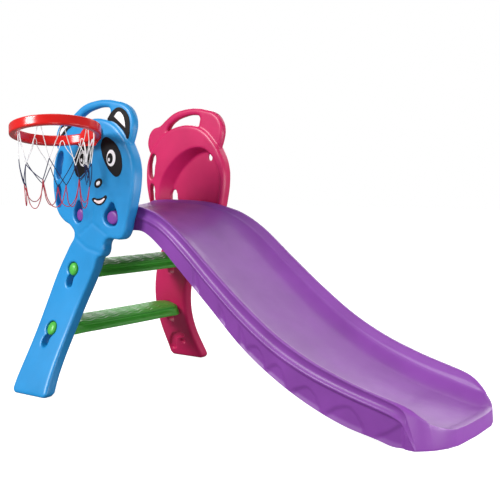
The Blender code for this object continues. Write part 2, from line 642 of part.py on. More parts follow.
def hoop_tilt():
    """The ring stands tipped, with its outer front edge high."""
    line = Vector((math.cos(HOOP_TILT_LINE), math.sin(HOOP_TILT_LINE), 0))
    across = Vector((-line.y, line.x, 0))
    return (Matrix.Rotation(-HOOP_TILT, 4, line) @ Matrix.Rotation(-HOOP_ROLL, 4, across)).to_euler()


def join_tool(target, tool, operation):
    """Leave a Boolean with this cutter on the target."""
    modifier = target.modifiers.new(tool.name, "BOOLEAN")
    modifier.operation = operation
    modifier.solver = "EXACT"
    modifier.object = tool


def build_hoop_arm():
    """Tongue, foot plate and tapering arm between the forehead and the ring."""
    face = stance(SOCKET_Z) + BODY_HALF + ARM_FACE_GAP
    tongue_x, tongue_z = SOCKET_HALF_X - TONGUE_CLEAR, SOCKET_HALF_Z - TONGUE_CLEAR
    tongue_end = stance(SOCKET_Z) + BODY_HALF - SOCKET_DEPTH + TONGUE_SHORT
    tip = -(HOOP_Y + HOOP_R - ARM_TIP_OVERLAP)
    stages = [
        (tongue_end, tongue_x, tongue_z, 0.0),
        (face, tongue_x, tongue_z, 0.0),
        (face, ARM_HALF_X, ARM_FOOT_HALF_Z, 0.0),
        (face + ARM_FOOT_THICK, ARM_HALF_X, ARM_FOOT_HALF_Z - 0.001, -0.001),
        (tip, ARM_TIP_HALF_X, ARM_TIP_HALF_Z, HOOP_Z - ARM_TIP_DROP - SOCKET_Z),
    ]
    rings = []
    for y, half_x, half_z, rise in stages:
        cut = ARM_CHAMFER * half_z
        corners = [(half_x, cut - half_z), (half_x, half_z - cut), (half_x - cut, half_z),
                   (cut - half_x, half_z), (-half_x, half_z - cut), (-half_x, cut - half_z),
                   (cut - half_x, -half_z), (half_x - cut, -half_z)]
        rings.append([(SOCKET_X + x, -y, SOCKET_Z + rise + z) for x, z in corners])
    arm = loft("hoop_arm", rings)
    arm.parent = row_origin
    return arm


def build_hoop():
    half_w, half_h, cut = HOOP_WIDTH / 2, HOOP_HEIGHT / 2, HOOP_CHAMFER
    middle = HOOP_R - half_w
    profile = [(half_w, half_h - cut), (half_w, cut - half_h), (half_w - cut, -half_h),
               (cut - half_w, -half_h), (-half_w, cut - half_h), (-half_w, half_h - cut),
               (cut - half_w, half_h), (half_w - cut, half_h)]
    ring = turned("hoop_ring", [(middle + r, h) for r, h in profile], True, HOOP_SEGMENTS)
    ring.location = (HOOP_X - SOCKET_X, HOOP_Y - hoop_mount.location.y, HOOP_Z - SOCKET_Z)
    ring.rotation_euler = hoop_tilt()
    join_tool(ring, build_hoop_arm(), "UNION")
    finish(ring, "hoop_ring", "red", 0.25, hoop_mount)


def build_net():
    """Three soft open sleeves, one for each colour of the knotted net."""
    under_ring = turned("under_ring", [(0, 0.08), (0.15, 0.08), (0.15, 0), (0, 0)], False, 32)
    under_ring.parent = row_origin
    tilt = hoop_tilt()
    down = tilt.to_matrix() @ Vector((0, 0, -HOOP_HEIGHT / 2 - GAP))
    under_ring.location = Vector((HOOP_X, HOOP_Y, HOOP_Z)) + down
    under_ring.rotation_euler = tilt
    for node, colour, top, top_radius, foot, foot_radius in NET_BANDS:
        profile = [(top_radius, top - HOOP_Z), (foot_radius, foot - HOOP_Z)]
        sleeve = turned(node, profile, False, NET_SEGMENTS)
        sleeve.location = (HOOP_X - SOCKET_X, HOOP_Y - hoop_mount.location.y, HOOP_Z - SOCKET_Z)
        wall = sleeve.modifiers.new("wall", "SOLIDIFY")
        wall.thickness = NET_WALL
        wall.offset = -1
        if colour == "white":
            join_tool(sleeve, under_ring, "DIFFERENCE")
        finish(sleeve, node, colour, 0.8, hoop_mount)


for leftover in list(bpy.data.objects):
    bpy.data.objects.remove(leftover, do_unlink=True)
parts = new_collection(NAME)
cutters = new_collection("cutters")
row_origin = new_empty("row_origin", (-ORIGIN_X, -ORIGIN_Y, 0))
hoop_mount = new_empty("hoop_mount", (SOCKET_X, -stance(SOCKET_Z) - BODY_HALF, SOCKET_Z), row_origin)

build_panel("left_side_panel", -1, "blue")
build_panel("right_side_panel", 1, "pink")
build_chute()
for step_node, step_x, step_z, step_key in STEPS:
    build_step(step_node, step_x, step_z, step_key)
build_hoop()
build_net()
for sticker, sticker_surface, sticker_outline in STICKERS:
    build_sticker(sticker, sticker_surface, sticker_outline)
for used in list(cutters.objects):
    used.hide_render = True
    used.display_type = "WIRE"
    used.hide_set(True)
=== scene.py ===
"""Toddler slide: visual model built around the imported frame.

Natural coordinates: x from the feet's front edge towards the exit, y from the middle of the
chute, z up from the floor. ORIGIN carries them into the frame's coordinates. A side panel is
drawn flat as (x, height, n), with n pointing outwards, and then bent to its stance.
"""
import math
import random

import bmesh
import bpy
from mathutils import Euler, Matrix, Vector


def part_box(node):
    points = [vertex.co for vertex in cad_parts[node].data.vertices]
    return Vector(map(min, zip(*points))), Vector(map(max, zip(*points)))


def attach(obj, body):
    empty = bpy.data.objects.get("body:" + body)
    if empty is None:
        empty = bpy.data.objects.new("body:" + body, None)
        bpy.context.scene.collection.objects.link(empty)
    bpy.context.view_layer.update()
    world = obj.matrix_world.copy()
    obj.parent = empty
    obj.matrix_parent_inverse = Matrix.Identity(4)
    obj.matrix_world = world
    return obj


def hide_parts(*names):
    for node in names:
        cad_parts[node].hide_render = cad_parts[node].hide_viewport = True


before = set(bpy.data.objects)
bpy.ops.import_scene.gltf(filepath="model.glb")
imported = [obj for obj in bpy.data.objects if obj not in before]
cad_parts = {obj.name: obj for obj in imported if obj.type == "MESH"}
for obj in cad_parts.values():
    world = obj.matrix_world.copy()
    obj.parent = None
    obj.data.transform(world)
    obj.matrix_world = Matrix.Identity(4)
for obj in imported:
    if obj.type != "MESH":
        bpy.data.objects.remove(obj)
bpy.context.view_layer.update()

HEEL = 0.133  # the feet reach this far behind x = 0
panel_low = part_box("left_side_panel")[0]
chute_low, chute_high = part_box("slide_chute")
ORIGIN = Vector((panel_low.x + HEEL, (chute_low.y + chute_high.y) / 2, panel_low.z))

# ---- sizes (metres)
BODY_HALF = 0.0195  # half thickness of head, neck and leg
EAR_HALF = 0.0130  # half thickness of ears and handle
BODY_EDGE = 0.0085  # rounding of the body's edges
EAR_EDGE = 0.0090
PANEL_VOXEL = 0.0025
PANEL_SMOOTHING = 6  # rounds of smoothing that soften a panel's corners
CUT_OVER = 0.010  # cutters reach this far past the faces that they cut
FIT_GAP = 0.0005  # gap between a step, or the hoop's arm, and a panel's faces
SOCKET = (0.058, 0.727, 0.0265, 0.0085, 0.020)  # x, height, their half sizes, depth

BODY_OUTLINE = [
    (-0.133, 0.010, "c"), (-0.132, 0.060), (-0.128, 0.120), (-0.117, 0.200), (-0.097, 0.280),
    (-0.071, 0.348), (-0.037, 0.410), (-0.018, 0.446), (-0.034, 0.468), (-0.062, 0.482),
    (-0.090, 0.510), (-0.105, 0.560), (-0.108, 0.615), (-0.097, 0.668), (-0.065, 0.713),
    (-0.021, 0.748), (0.030, 0.766), (0.080, 0.768), (0.125, 0.755), (0.163, 0.725),
    (0.192, 0.685), (0.209, 0.640), (0.210, 0.590), (0.200, 0.535), (0.186, 0.485),
    (0.177, 0.452), (0.163, 0.438), (0.140, 0.437, "c"), (0.114, 0.436), (0.104, 0.425),
    (0.101, 0.402), (0.094, 0.389), (0.081, 0.382), (0.069, 0.350), (0.050, 0.305),
    (0.031, 0.260), (0.014, 0.205), (0.003, 0.150), (-0.001, 0.090), (0.006, 0.010, "c"),
    (-0.003, 0.000, "c"), (-0.123, 0.000, "c"),
]
EAR_OUTLINE = [
    (-0.070, 0.650, "c"), (-0.103, 0.700), (-0.101, 0.735), (-0.082, 0.761), (-0.052, 0.770),
    (-0.026, 0.788), (0.008, 0.808), (0.050, 0.818), (0.095, 0.820), (0.135, 0.814),
    (0.169, 0.804), (0.193, 0.782), (0.202, 0.752), (0.197, 0.722), (0.186, 0.694),
    (0.175, 0.670, "c"), (0.050, 0.690, "c"),
]
HANDLE_GAP = [
    (-0.020, 0.746, "c"), (-0.015, 0.761), (0.006, 0.780), (0.048, 0.795), (0.092, 0.799),
    (0.111, 0.793), (0.110, 0.775), (0.099, 0.745, "c"),
]
GRIP_SLOTS = [
    [(-0.090, 0.608), (-0.082, 0.600), (-0.074, 0.612), (-0.069, 0.640), (-0.063, 0.667),
     (-0.068, 0.680), (-0.080, 0.678), (-0.090, 0.660), (-0.094, 0.632)],
    [(-0.084, 0.520), (-0.076, 0.520), (-0.073, 0.548), (-0.074, 0.576), (-0.082, 0.586),
     (-0.090, 0.578), (-0.091, 0.550)],
]
# On the far panel, each grip slot also opens to the rear edge outside this n
GRIP_BAR_TOP = 0.002
GRIP_REAR = -0.079  # slot points behind this move back by GRIP_MOVE
GRIP_MOVE = 0.040
ARCH_GROOVE = [
    (-0.118, 0.026), (-0.106, 0.064), (-0.074, 0.088), (-0.040, 0.086), (-0.042, 0.076),
    (-0.070, 0.070), (-0.090, 0.052), (-0.098, 0.028),
]
FOOT_DIMPLE = (-0.055, 0.057, 0.0085)  # x, height and radius, under the groove's arch
FOOT_RELIEF = 0.008  # depth of the dimple and the groove
# Recess in the inner face: each mouth point and the floor point that it leads to
POCKET = [
    ((-0.038, 0.478), (0.000, 0.484)), ((-0.054, 0.505), (-0.013, 0.512)),
    ((-0.055, 0.548), (-0.014, 0.548)), ((-0.045, 0.592), (-0.005, 0.586)),
    ((-0.018, 0.636), (0.022, 0.623)), ((0.028, 0.674), (0.060, 0.656)),
    ((0.080, 0.697), (0.096, 0.678)), ((0.124, 0.698), (0.128, 0.686)),
    ((0.157, 0.680), (0.152, 0.672)), ((0.182, 0.645), (0.174, 0.640)),
    ((0.193, 0.603), (0.184, 0.600)), ((0.189, 0.555), (0.180, 0.555)),
    ((0.174, 0.505), (0.166, 0.508)), ((0.160, 0.478), (0.154, 0.486)),
    ((0.135, 0.468), (0.134, 0.478)), ((0.010, 0.466), (0.030, 0.476)),
]
POCKET_DEPTH = 0.032
POCKET_SHIFT = -0.006  # moves the listed floor points along x
POCKET_OVER = 0.012
POCKET_POINTS = 96
FAR_SLIT = (0.135, 0.669, 0.0075, 0.0115)  # x, height and half sizes, in the far panel
# Teardrop recesses round the cheek tabs, and the taller openings in the far panel
CHEEK_HOLES = [
    [(0.129, 0.538), (0.115, 0.524), (0.100, 0.502), (0.104, 0.486), (0.132, 0.473),
     (0.149, 0.481), (0.151, 0.500), (0.142, 0.524)],
    [(0.001, 0.542), (-0.011, 0.528), (-0.018, 0.509), (-0.014, 0.489), (0.000, 0.478),
     (0.015, 0.489), (0.016, 0.509), (0.010, 0.531)],
]
FAR_HOLES = [
    [(0.120, 0.518), (0.106, 0.510), (0.100, 0.495), (0.110, 0.480), (0.134, 0.474),
     (0.149, 0.482), (0.151, 0.500), (0.140, 0.514)],
    [(-0.012, 0.567), (-0.021, 0.562), (-0.026, 0.535), (-0.021, 0.500), (-0.008, 0.480),
     (0.008, 0.479), (0.016, 0.492), (0.013, 0.510), (-0.002, 0.535), (-0.006, 0.560)],
]
# The chute's tabs: x, height, half length and half height
CHEEK_TABS = [(0.1235, 0.4955, 0.0210, 0.0190), (-0.0015, 0.5000, 0.0140, 0.0180)]
CHEEK_FLOOR = -0.0060  # n of the near panel's cheek recesses
CHEEK_CUP = (1.30, -0.0100, 0.0160)  # outline scale, inner and outer level
CHEEK_CLEAR = 0.0015
# Keyholes for the steps' tabs: a round hole, and a slot that hangs from it, a little behind
KEYHOLES = [(-0.061, 0.178), (-0.013, 0.347)]
KEY_RADIUS = 0.0205
KEY_ARC = (-50, 280, 8)  # first angle, sweep and number of steps
KEY_SLOT_SHIFT = 0.010
KEY_SLOT_RADIUS = 0.012
KEY_SLOT_RISE = 0.010  # from the slot's lowest level up to its round's middle
KEY_DROP = 0.050
KEY_NECK = 0.024  # the slot starts this far below the round hole's middle
KEY_NECK_REAR = 0.009
KEY_NECK_FRONT = 0.015
# Shallow creases on the outer face: points (x, height), depth and half width
CREASES = [
    ([(-0.009, 0.437), (0.038, 0.409), (0.105, 0.394)], 0.0010, 0.0060),
    ([(0.010, 0.448), (0.056, 0.480), (0.112, 0.450)], 0.0008, 0.0060),
    ([(0.056, 0.480), (0.058, 0.512)], 0.0006, 0.0055),
]
CREASE_SKIN = 0.006  # creases move only points this close to the outer face
CREASE_SPAN = (0.36, 0.56)  # and at these heights
CREASE_TAIL = 3  # half widths after which a crease has faded out

# Where a panel's middle plane stands, by height: it leans inwards, and its foot flares out
STANCE = 0.1985
STANCE_HEIGHT = 0.600
LEAN = 0.020
FLARE = 0.133
FLARE_HEIGHT = 0.179
FLARE_POWER = 1.363


def stance(z):
    """Distance from the chute's mid-plane to a panel's middle plane at height z."""
    flare = FLARE * math.exp(-((max(z, 0.0) / FLARE_HEIGHT) ** FLARE_POWER))
    return STANCE - LEAN * (z - STANCE_HEIGHT) + flare


# ---- materials
MOTTLE_SCALE = 9.0  # noise scales, for each metre
SMUDGE_SCALE = 34.0
PEEL_SCALE = 420.0
STRAND_SCALE = 260.0
PEEL_STRENGTH = 0.25
STRAND_STRENGTH = 0.6
STRAND_HEIGHT = 0.0004


def srgb(r, g, b):
    """Linear colour from display values of 0 to 255."""
    def one(v):
        v /= 255
        return v / 12.92 if v <= 0.04045 else ((v + 0.055) / 1.055) ** 2.4
    return (one(r), one(g), one(b), 1.0)


def plastic(name, colour, roughness=0.36, grain=0.02, mottle=0.05, shine=0.5):
    """Moulded plastic: mottled colour, uneven gloss and a fine orange-peel skin."""
    made = bpy.data.materials.new(name)
    made.use_nodes = True
    tree = made.node_tree
    nodes, links = tree.nodes, tree.links
    shader = nodes["Principled BSDF"]
    shader.inputs["Specular IOR Level"].default_value = shine
    place = nodes.new("ShaderNodeTexCoord")
    broad = nodes.new("ShaderNodeTexNoise")
    broad.inputs["Scale"].default_value = MOTTLE_SCALE
    broad.inputs["Detail"].default_value = 3.0
    links.new(place.outputs["Object"], broad.inputs["Vector"])
    ramp = nodes.new("ShaderNodeValToRGB")
    dark = tuple(c * (1 - mottle * 2.2) for c in colour[:3]) + (1,)
    light = tuple(min(1, c * (1 + mottle) + 0.004) for c in colour[:3]) + (1,)
    ramp.color_ramp.elements[0].position = 0.28
    ramp.color_ramp.elements[0].color = dark
    ramp.color_ramp.elements[1].position = 0.72
    ramp.color_ramp.elements[1].color = light
    links.new(broad.outputs["Fac"], ramp.inputs["Fac"])
    links.new(ramp.outputs["Color"], shader.inputs["Base Color"])
    gloss = nodes.new("ShaderNodeMapRange")
    gloss.inputs["To Min"].default_value = roughness - 0.05
    gloss.inputs["To Max"].default_value = roughness + 0.06
    smudge = nodes.new("ShaderNodeTexNoise")
    smudge.inputs["Scale"].default_value = SMUDGE_SCALE
    smudge.inputs["Detail"].default_value = 5.0
    links.new(place.outputs["Object"], smudge.inputs["Vector"])
    links.new(smudge.outputs["Fac"], gloss.inputs["Value"])
    links.new(gloss.outputs["Result"], shader.inputs["Roughness"])
    peel = nodes.new("ShaderNodeTexNoise")
    peel.inputs["Scale"].default_value = PEEL_SCALE
    peel.inputs["Detail"].default_value = 2.0
    links.new(place.outputs["Object"], peel.inputs["Vector"])
    bump = nodes.new("ShaderNodeBump")
    bump.inputs["Strength"].default_value = PEEL_STRENGTH
    bump.inputs["Distance"].default_value = grain * 0.01
    links.new(peel.outputs["Fac"], bump.inputs["Height"])
    links.new(bump.outputs["Normal"], shader.inputs["Normal"])
    return made


def cord_material(name, colour):
    """Twisted cord: fine slanting strands."""
    made = plastic(name, colour, roughness=0.7, grain=0.02, mottle=0.1)
    tree = made.node_tree
    wave = tree.nodes.new("ShaderNodeTexWave")
    wave.inputs["Scale"].default_value = STRAND_SCALE
    wave.inputs["Distortion"].default_value = 1.5
    wave.bands_direction = "DIAGONAL"
    place = next(n for n in tree.nodes if n.type == "TEX_COORD")
    tree.links.new(place.outputs["Object"], wave.inputs["Vector"])
    bump = next(n for n in tree.nodes if n.type == "BUMP")
    bump.inputs["Distance"].default_value = STRAND_HEIGHT
    bump.inputs["Strength"].default_value = STRAND_STRENGTH
    tree.links.new(wave.outputs["Fac"], bump.inputs["Height"])
    return made


BLUE = plastic("blue_plastic", (0.009, 0.255, 0.600, 1))
PINK = plastic("pink_plastic", (0.580, 0.010, 0.105, 1))
PURPLE = plastic("purple_plastic", (0.212, 0.044, 0.318, 1), roughness=0.38)
GREEN = plastic("green_plastic", (0.072, 0.450, 0.045, 1), roughness=0.36)
RED = plastic("red_plastic", (0.600, 0.006, 0.005, 1), roughness=0.18, mottle=0.03)
INK = plastic("sticker_ink", (0.006, 0.004, 0.005, 1), roughness=0.62, grain=0.01, shine=0.2)
PAPER = plastic("sticker_white", srgb(240, 236, 240), roughness=0.30, grain=0.01, mottle=0.02)
BLUSH = plastic("sticker_blush", srgb(250, 226, 228), roughness=0.30, grain=0.01, mottle=0.02)
WHITE_CORD = cord_material("white_cord", srgb(246, 244, 246))
NAVY_CORD = cord_material("navy_cord", srgb(20, 26, 74))
RED_CORD = cord_material("red_cord", srgb(178, 34, 54))


# ---- building tools
OVAL_POINTS = 12


def new_object(name, mesh):
    made = bpy.data.objects.new(name, mesh)
    bpy.context.scene.collection.objects.link(made)
    return made


def evaluated_mesh(obj):
    """New mesh holding what the object's modifiers or curve make."""
    bpy.context.view_layer.update()
    graph = bpy.context.evaluated_depsgraph_get()
    return bpy.data.meshes.new_from_object(obj.evaluated_get(graph))


def apply_modifiers(obj):
    mesh = evaluated_mesh(obj)
    obj.modifiers.clear()
    obj.data = mesh


def flat_solid(name, outlines, low, high, edge, resolution=6):
    """Solid between n = low and n = high; the first outline is the rim, the others are holes.

    An outline's points are (x, height), joined smoothly, or (x, height, "c") at a corner.
    """
    curve = bpy.data.curves.new(name, "CURVE")
    curve.dimensions = "2D"
    curve.fill_mode = "BOTH"
    curve.extrude = (high - low) / 2 - edge
    curve.bevel_depth = edge
    curve.bevel_resolution = 3 if edge else 0
    curve.offset = -edge
    curve.resolution_u = resolution
    for outline in outlines:
        spline = curve.splines.new("BEZIER")
        spline.bezier_points.add(len(outline) - 1)
        for point, (x, z, *corner) in zip(spline.bezier_points, outline):
            point.co = (x, z, 0.0)
            handle = "VECTOR" if corner else "AUTO"
            point.handle_left_type = handle
            point.handle_right_type = handle
        spline.use_cyclic_u = True
    holder = new_object(name, curve)
    mesh = evaluated_mesh(holder)
    bpy.data.objects.remove(holder, do_unlink=True)
    work = bmesh.new()
    work.from_mesh(mesh)
    bmesh.ops.remove_doubles(work, verts=work.verts, dist=0.00002)
    bmesh.ops.dissolve_degenerate(work, edges=work.edges, dist=0.00002)
    bmesh.ops.recalc_face_normals(work, faces=work.faces)
    bmesh.ops.translate(work, verts=work.verts, vec=(0, 0, (low + high) / 2))
    work.to_mesh(mesh)
    work.free()
    return new_object(name, mesh)


def loft(name, rings, closed=False):
    """Mesh through rings of equal point count; capped at both ends unless it closes on itself."""
    work = bmesh.new()
    rows = [[work.verts.new(p) for p in ring] for ring in rings]
    pairs = list(zip(rows, rows[1:]))
    if closed:
        pairs.append((rows[-1], rows[0]))
    for a, b in pairs:
        count = len(a)
        for i in range(count):
            j = (i + 1) % count
            work.faces.new((a[i], a[j], b[j], b[i]))
    if not closed:
        work.faces.new(rows[0])
        work.faces.new(list(reversed(rows[-1])))
    bmesh.ops.remove_doubles(work, verts=work.verts, dist=0.00001)
    bmesh.ops.recalc_face_normals(work, faces=work.faces)
    mesh = bpy.data.meshes.new(name)
    work.to_mesh(mesh)
    work.free()
    mesh.set_sharp_from_angle(angle=math.radians(55))
    return new_object(name, mesh)


def boolean(target, tool, operation):
    """Join the tool to the target or cut it out, and delete the tool."""
    modifier = target.modifiers.new("cut", "BOOLEAN")
    modifier.operation = operation
    modifier.solver = "EXACT"
    modifier.object = tool
    apply_modifiers(target)
    bpy.data.objects.remove(tool, do_unlink=True)


def melt(obj, voxel, rounds, factor=0.5):
    """Turn a cut-together solid into one evenly meshed skin with softened corners."""
    remesh = obj.modifiers.new("skin", "REMESH")
    remesh.mode = "VOXEL"
    remesh.voxel_size = voxel
    soften = obj.modifiers.new("soften", "SMOOTH")
    soften.factor = factor
    soften.iterations = rounds
    apply_modifiers(obj)


def oval(x, z, rx, rz, turn=0.0):
    """Outline of an ellipse, turned by an angle."""
    points = []
    for i in range(OVAL_POINTS):
        a = 2 * math.pi * i / OVAL_POINTS
        dx, dz = rx * math.cos(a), rz * math.sin(a)
        points.append((x + dx * math.cos(turn) - dz * math.sin(turn),
                       z + dx * math.sin(turn) + dz * math.cos(turn)))
    return points


def keyhole(x, z):
    """Outline of a keyhole whose round hole is at x, z."""
    foot = z - KEY_DROP
    first, sweep, steps = KEY_ARC
    points = []
    for i in range(steps + 1):
        angle = math.radians(first + sweep * i / steps)
        points.append((x + KEY_RADIUS * math.cos(angle), z + KEY_RADIUS * math.sin(angle)))
    drop = x - KEY_SLOT_SHIFT
    points += [(drop - KEY_NECK_REAR, z - KEY_NECK)]
    for i in range(5):
        angle = math.radians(180 + 180 * i / 4)
        points.append((drop + KEY_SLOT_RADIUS * math.cos(angle),
                       foot + KEY_SLOT_RISE + KEY_SLOT_RADIUS * math.sin(angle)))
    points += [(drop + KEY_NECK_FRONT, z - KEY_NECK)]
    return points


def smooth_ring(points, count):
    """A closed smooth curve through the points, read off at even steps of its index."""
    out = []
    total = len(points)
    for k in range(count):
        t = k * total / count
        i = int(t)
        u = t - i
        p0, p1, p2, p3 = (Vector(points[(i + d) % total]) for d in (-1, 0, 1, 2))
        out.append(0.5 * ((2 * p1) + (p2 - p0) * u + (2 * p0 - 5 * p1 + 4 * p2 - p3) * u * u
                          + (3 * p1 - p0 - 3 * p2 + p3) * u ** 3))
    return out


def distance_to_line(x, z, points):
    """Shortest distance from (x, z) to an open line."""
    best = 1e9
    for (ax, az), (bx, bz) in zip(points, points[1:]):
        dx, dz = bx - ax, bz - az
        t = max(0.0, min(1.0, ((x - ax) * dx + (z - az) * dz) / (dx * dx + dz * dz)))
        best = min(best, math.hypot(x - ax - dx * t, z - az - dz * t))
    return best


def bend(obj, side):
    """Turn a flat (x, height, n) solid into a standing one, in the frame's coordinates."""
    for vertex in obj.data.vertices:
        x, height, n = vertex.co
        vertex.co = Vector((x, side * (stance(height) + n), height)) + ORIGIN
    if side > 0:
        obj.data.flip_normals()


def dress(obj, name, material, body, replaces=()):
    """Name a finished piece, give it its material and hang it on its body."""
    obj.name = name
    obj.data.name = name
    obj.data.materials.clear()
    obj.data.materials.append(material)
    if obj.type == "MESH":
        obj.data.shade_smooth()
    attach(obj, body)
    if replaces:
        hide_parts(*replaces)
    return obj


# ---- side panels
def pocket_cutter():
    """Solid that cuts the recess in a head's inner face."""
    mouth = smooth_ring([m for m, f in POCKET], POCKET_POINTS)
    floor = smooth_ring([f for m, f in POCKET], POCKET_POINTS)
    rings = []
    for n, share in ((-POCKET_OVER, 0.0), (0.0, 0.0), (POCKET_DEPTH, 1.0)):
        rings.append([(m.x + (f.x + POCKET_SHIFT - m.x) * share, m.y + (f.y - m.y) * share,
                       n - BODY_HALF) for m, f in zip(mouth, floor)])
    return loft("pocket", rings)


def crease(mesh):
    """Press the shallow creases into the outer face."""
    for vertex in mesh.vertices:
        x, z, n = vertex.co
        if n > BODY_HALF - CREASE_SKIN and CREASE_SPAN[0] < z < CREASE_SPAN[1]:
            for points, depth, width in CREASES:
                away = distance_to_line(x, z, points) / width
                if away < CREASE_TAIL:
                    vertex.co.z -= depth * math.exp(-away * away)


def build_panel(name, side, material):
    """One side panel, cut flat and then bent: side -1 is the near, blue one."""
    body = flat_solid("body", [BODY_OUTLINE], -BODY_HALF, BODY_HALF, BODY_EDGE)
    ears = flat_solid("ears", [EAR_OUTLINE, HANDLE_GAP], -EAR_HALF, EAR_HALF, EAR_EDGE)
    boolean(body, ears, "UNION")
    deep = BODY_HALF + CUT_OVER
    boolean(body, pocket_cutter(), "DIFFERENCE")
    if side < 0:
        scale, inner, outer = CHEEK_CUP
        for hole in CHEEK_HOLES:
            middle = sum((Vector(p) for p in hole), Vector((0, 0))) / len(hole)
            cup = [(middle.x + (x - middle.x) * scale, middle.y + (z - middle.y) * scale)
                   for x, z in hole]
            boolean(body, flat_solid("cup", [cup], inner, outer, 0), "UNION")
    dimple_x, dimple_z, dimple_r = FOOT_DIMPLE
    dimple = oval(dimple_x, dimple_z, dimple_r, dimple_r)
    tools = [flat_solid("hole", [dimple], -deep, FOOT_RELIEF - BODY_HALF, 0),
             flat_solid("arch", [ARCH_GROOVE], -deep, FOOT_RELIEF - BODY_HALF, 0)]
    holes, floor = (FAR_HOLES, -deep) if side > 0 else (CHEEK_HOLES, CHEEK_FLOOR)
    tools += [flat_solid("cheek", [hole], floor, deep, 0) for hole in holes]
    for x, z, half_x, half_z in CHEEK_TABS:
        way = oval(x, z, half_x + CHEEK_CLEAR, half_z + CHEEK_CLEAR)
        tools.append(flat_solid("tab_way", [way], -deep, deep, 0))
    tools += [flat_solid("key", [keyhole(x, z)], -deep, deep, 0) for x, z in KEYHOLES]
    tools += [flat_solid("grip", [outline], -deep, deep, 0) for outline in GRIP_SLOTS]
    if side > 0:
        for outline in GRIP_SLOTS:
            wide = [(x if x > GRIP_REAR else x - GRIP_MOVE, z) for x, z in outline]
            tools.append(flat_solid("relief", [wide], GRIP_BAR_TOP, deep, 0))
        tools.append(flat_solid("slot", [oval(*FAR_SLIT)], -deep, deep, 0))
    else:
        x, z, half_x, half_z, depth = SOCKET
        corners = [(x + i * half_x, z + j * half_z, "c")
                   for i, j in ((-1, -1), (1, -1), (1, 1), (-1, 1))]
        tools.append(flat_solid("socket", [corners], BODY_HALF - depth, deep, 0))
    for tool in tools:
        boolean(body, tool, "DIFFERENCE")
    melt(body, PANEL_VOXEL, PANEL_SMOOTHING)
    crease(body.data)
    bend(body, side)
    return dress(body, name + "_shell", material, "slide", (name,))


# ---- chute
# x, then height of rim, ledge, skirt foot and bed's sides, and half width
CHUTE = [
    (-0.071, 0.520, 0.505, 0.458, 0.508, 0.178), (-0.057, 0.534, 0.512, 0.455, 0.521, 0.178),
    (0.060, 0.537, 0.514, 0.456, 0.522, 0.178), (0.150, 0.533, 0.509, 0.460, 0.515, 0.178),
    (0.205, 0.524, 0.499, 0.457, 0.501, 0.179), (0.275, 0.503, 0.474, 0.418, 0.469, 0.190),
    (0.350, 0.459, 0.424, 0.360, 0.415, 0.199), (0.450, 0.378, 0.338, 0.274, 0.328, 0.203),
    (0.550, 0.299, 0.257, 0.186, 0.246, 0.206), (0.650, 0.229, 0.191, 0.118, 0.177, 0.208),
    (0.750, 0.177, 0.144, 0.066, 0.123, 0.209), (0.850, 0.140, 0.112, 0.029, 0.084, 0.210),
    (0.940, 0.114, 0.089, 0.010, 0.056, 0.210), (0.970, 0.105, 0.080, 0.002, 0.0435, 0.209),
    (0.984, 0.099, 0.074, 0.000, 0.0375, 0.208), (0.994, 0.092, 0.068, 0.000, 0.036, 0.2065),
    (1.001, 0.0845, 0.061, 0.000, 0.0385, 0.205),
    (1.006, 0.0765, 0.054, 0.000, 0.0395, 0.2045),
    (1.0136, 0.059, 0.042, 0.000, 0.037, 0.204),
    (1.0212, 0.040, 0.029, 0.000, 0.0285, 0.2035),
    (1.028, 0.022, 0.016, 0.000, 0.0175, 0.203),
    (1.0325, 0.009, 0.0065, 0.000, 0.008, 0.2025),
    (1.0345, 0.003, 0.0022, 0.000, 0.0027, 0.202),
]
CHUTE_SPACING = 0.0045  # most that two stations lie apart
CHUTE_WALL = 0.009
SKIRT_WALL = 0.020
CLOSING = 0.960  # the hollow underneath ends from here, over CLOSING_RUN
CLOSING_RUN = 0.015
# The exit bulges forward in plan by up to LIP_REACH, and tucks back below its crest
LIP_START = 0.900
LIP_CREST = 1.006
LIP_END = 1.0345
LIP_REACH = 0.0930
LIP_TUCK = 0.0295
LIP_POWER = 4.0
BED_SAG = 0.006  # the bed's middle lies this much lower than its sides
BED_SAG_END = 1.0
BED_SAG_RUN = 0.08
FULL_DEPTH = 0.046  # trough depth at which the rim has its full fall
# The bead under the rim: how far it stands out, its middle, foot and rounding
BEAD_OUT = 0.0010
BEAD_MIDDLE = 0.0050
BEAD_FOOT = 0.0130
BEAD_ROUND = 0.0075
BEAD_FOOT_ROUND = 0.004
SKIRT_TOP = 0.0160  # the skirt ends this far below the ledge
SKIRT_LAST = 0.0162  # and its top row of points lies this far below
SKIRT_ROWS = 16
LOW_SKIRT = 0.0170  # on a lower skirt, the bead shrinks with it
RECESS_SKIRT = 0.05  # on a lower skirt, the recess fades
WAIST_START = 0.995  # the hollow above the bead fades out before the exit
WAIST_END = 1.010
RIM_FALL = 0.017
WAVE_DEPTH = 0.0034
WAVE_EDGE = (-0.0012, 0.0028)  # the wave's step starts and ends this far inside its line
WAVE_FOOT = 3  # rows over which a wave fades in at the skirt's foot
WAVE_MARGIN = 0.01
WAVE_DROP = 0.002  # run of the steep lines that close a wave downwards
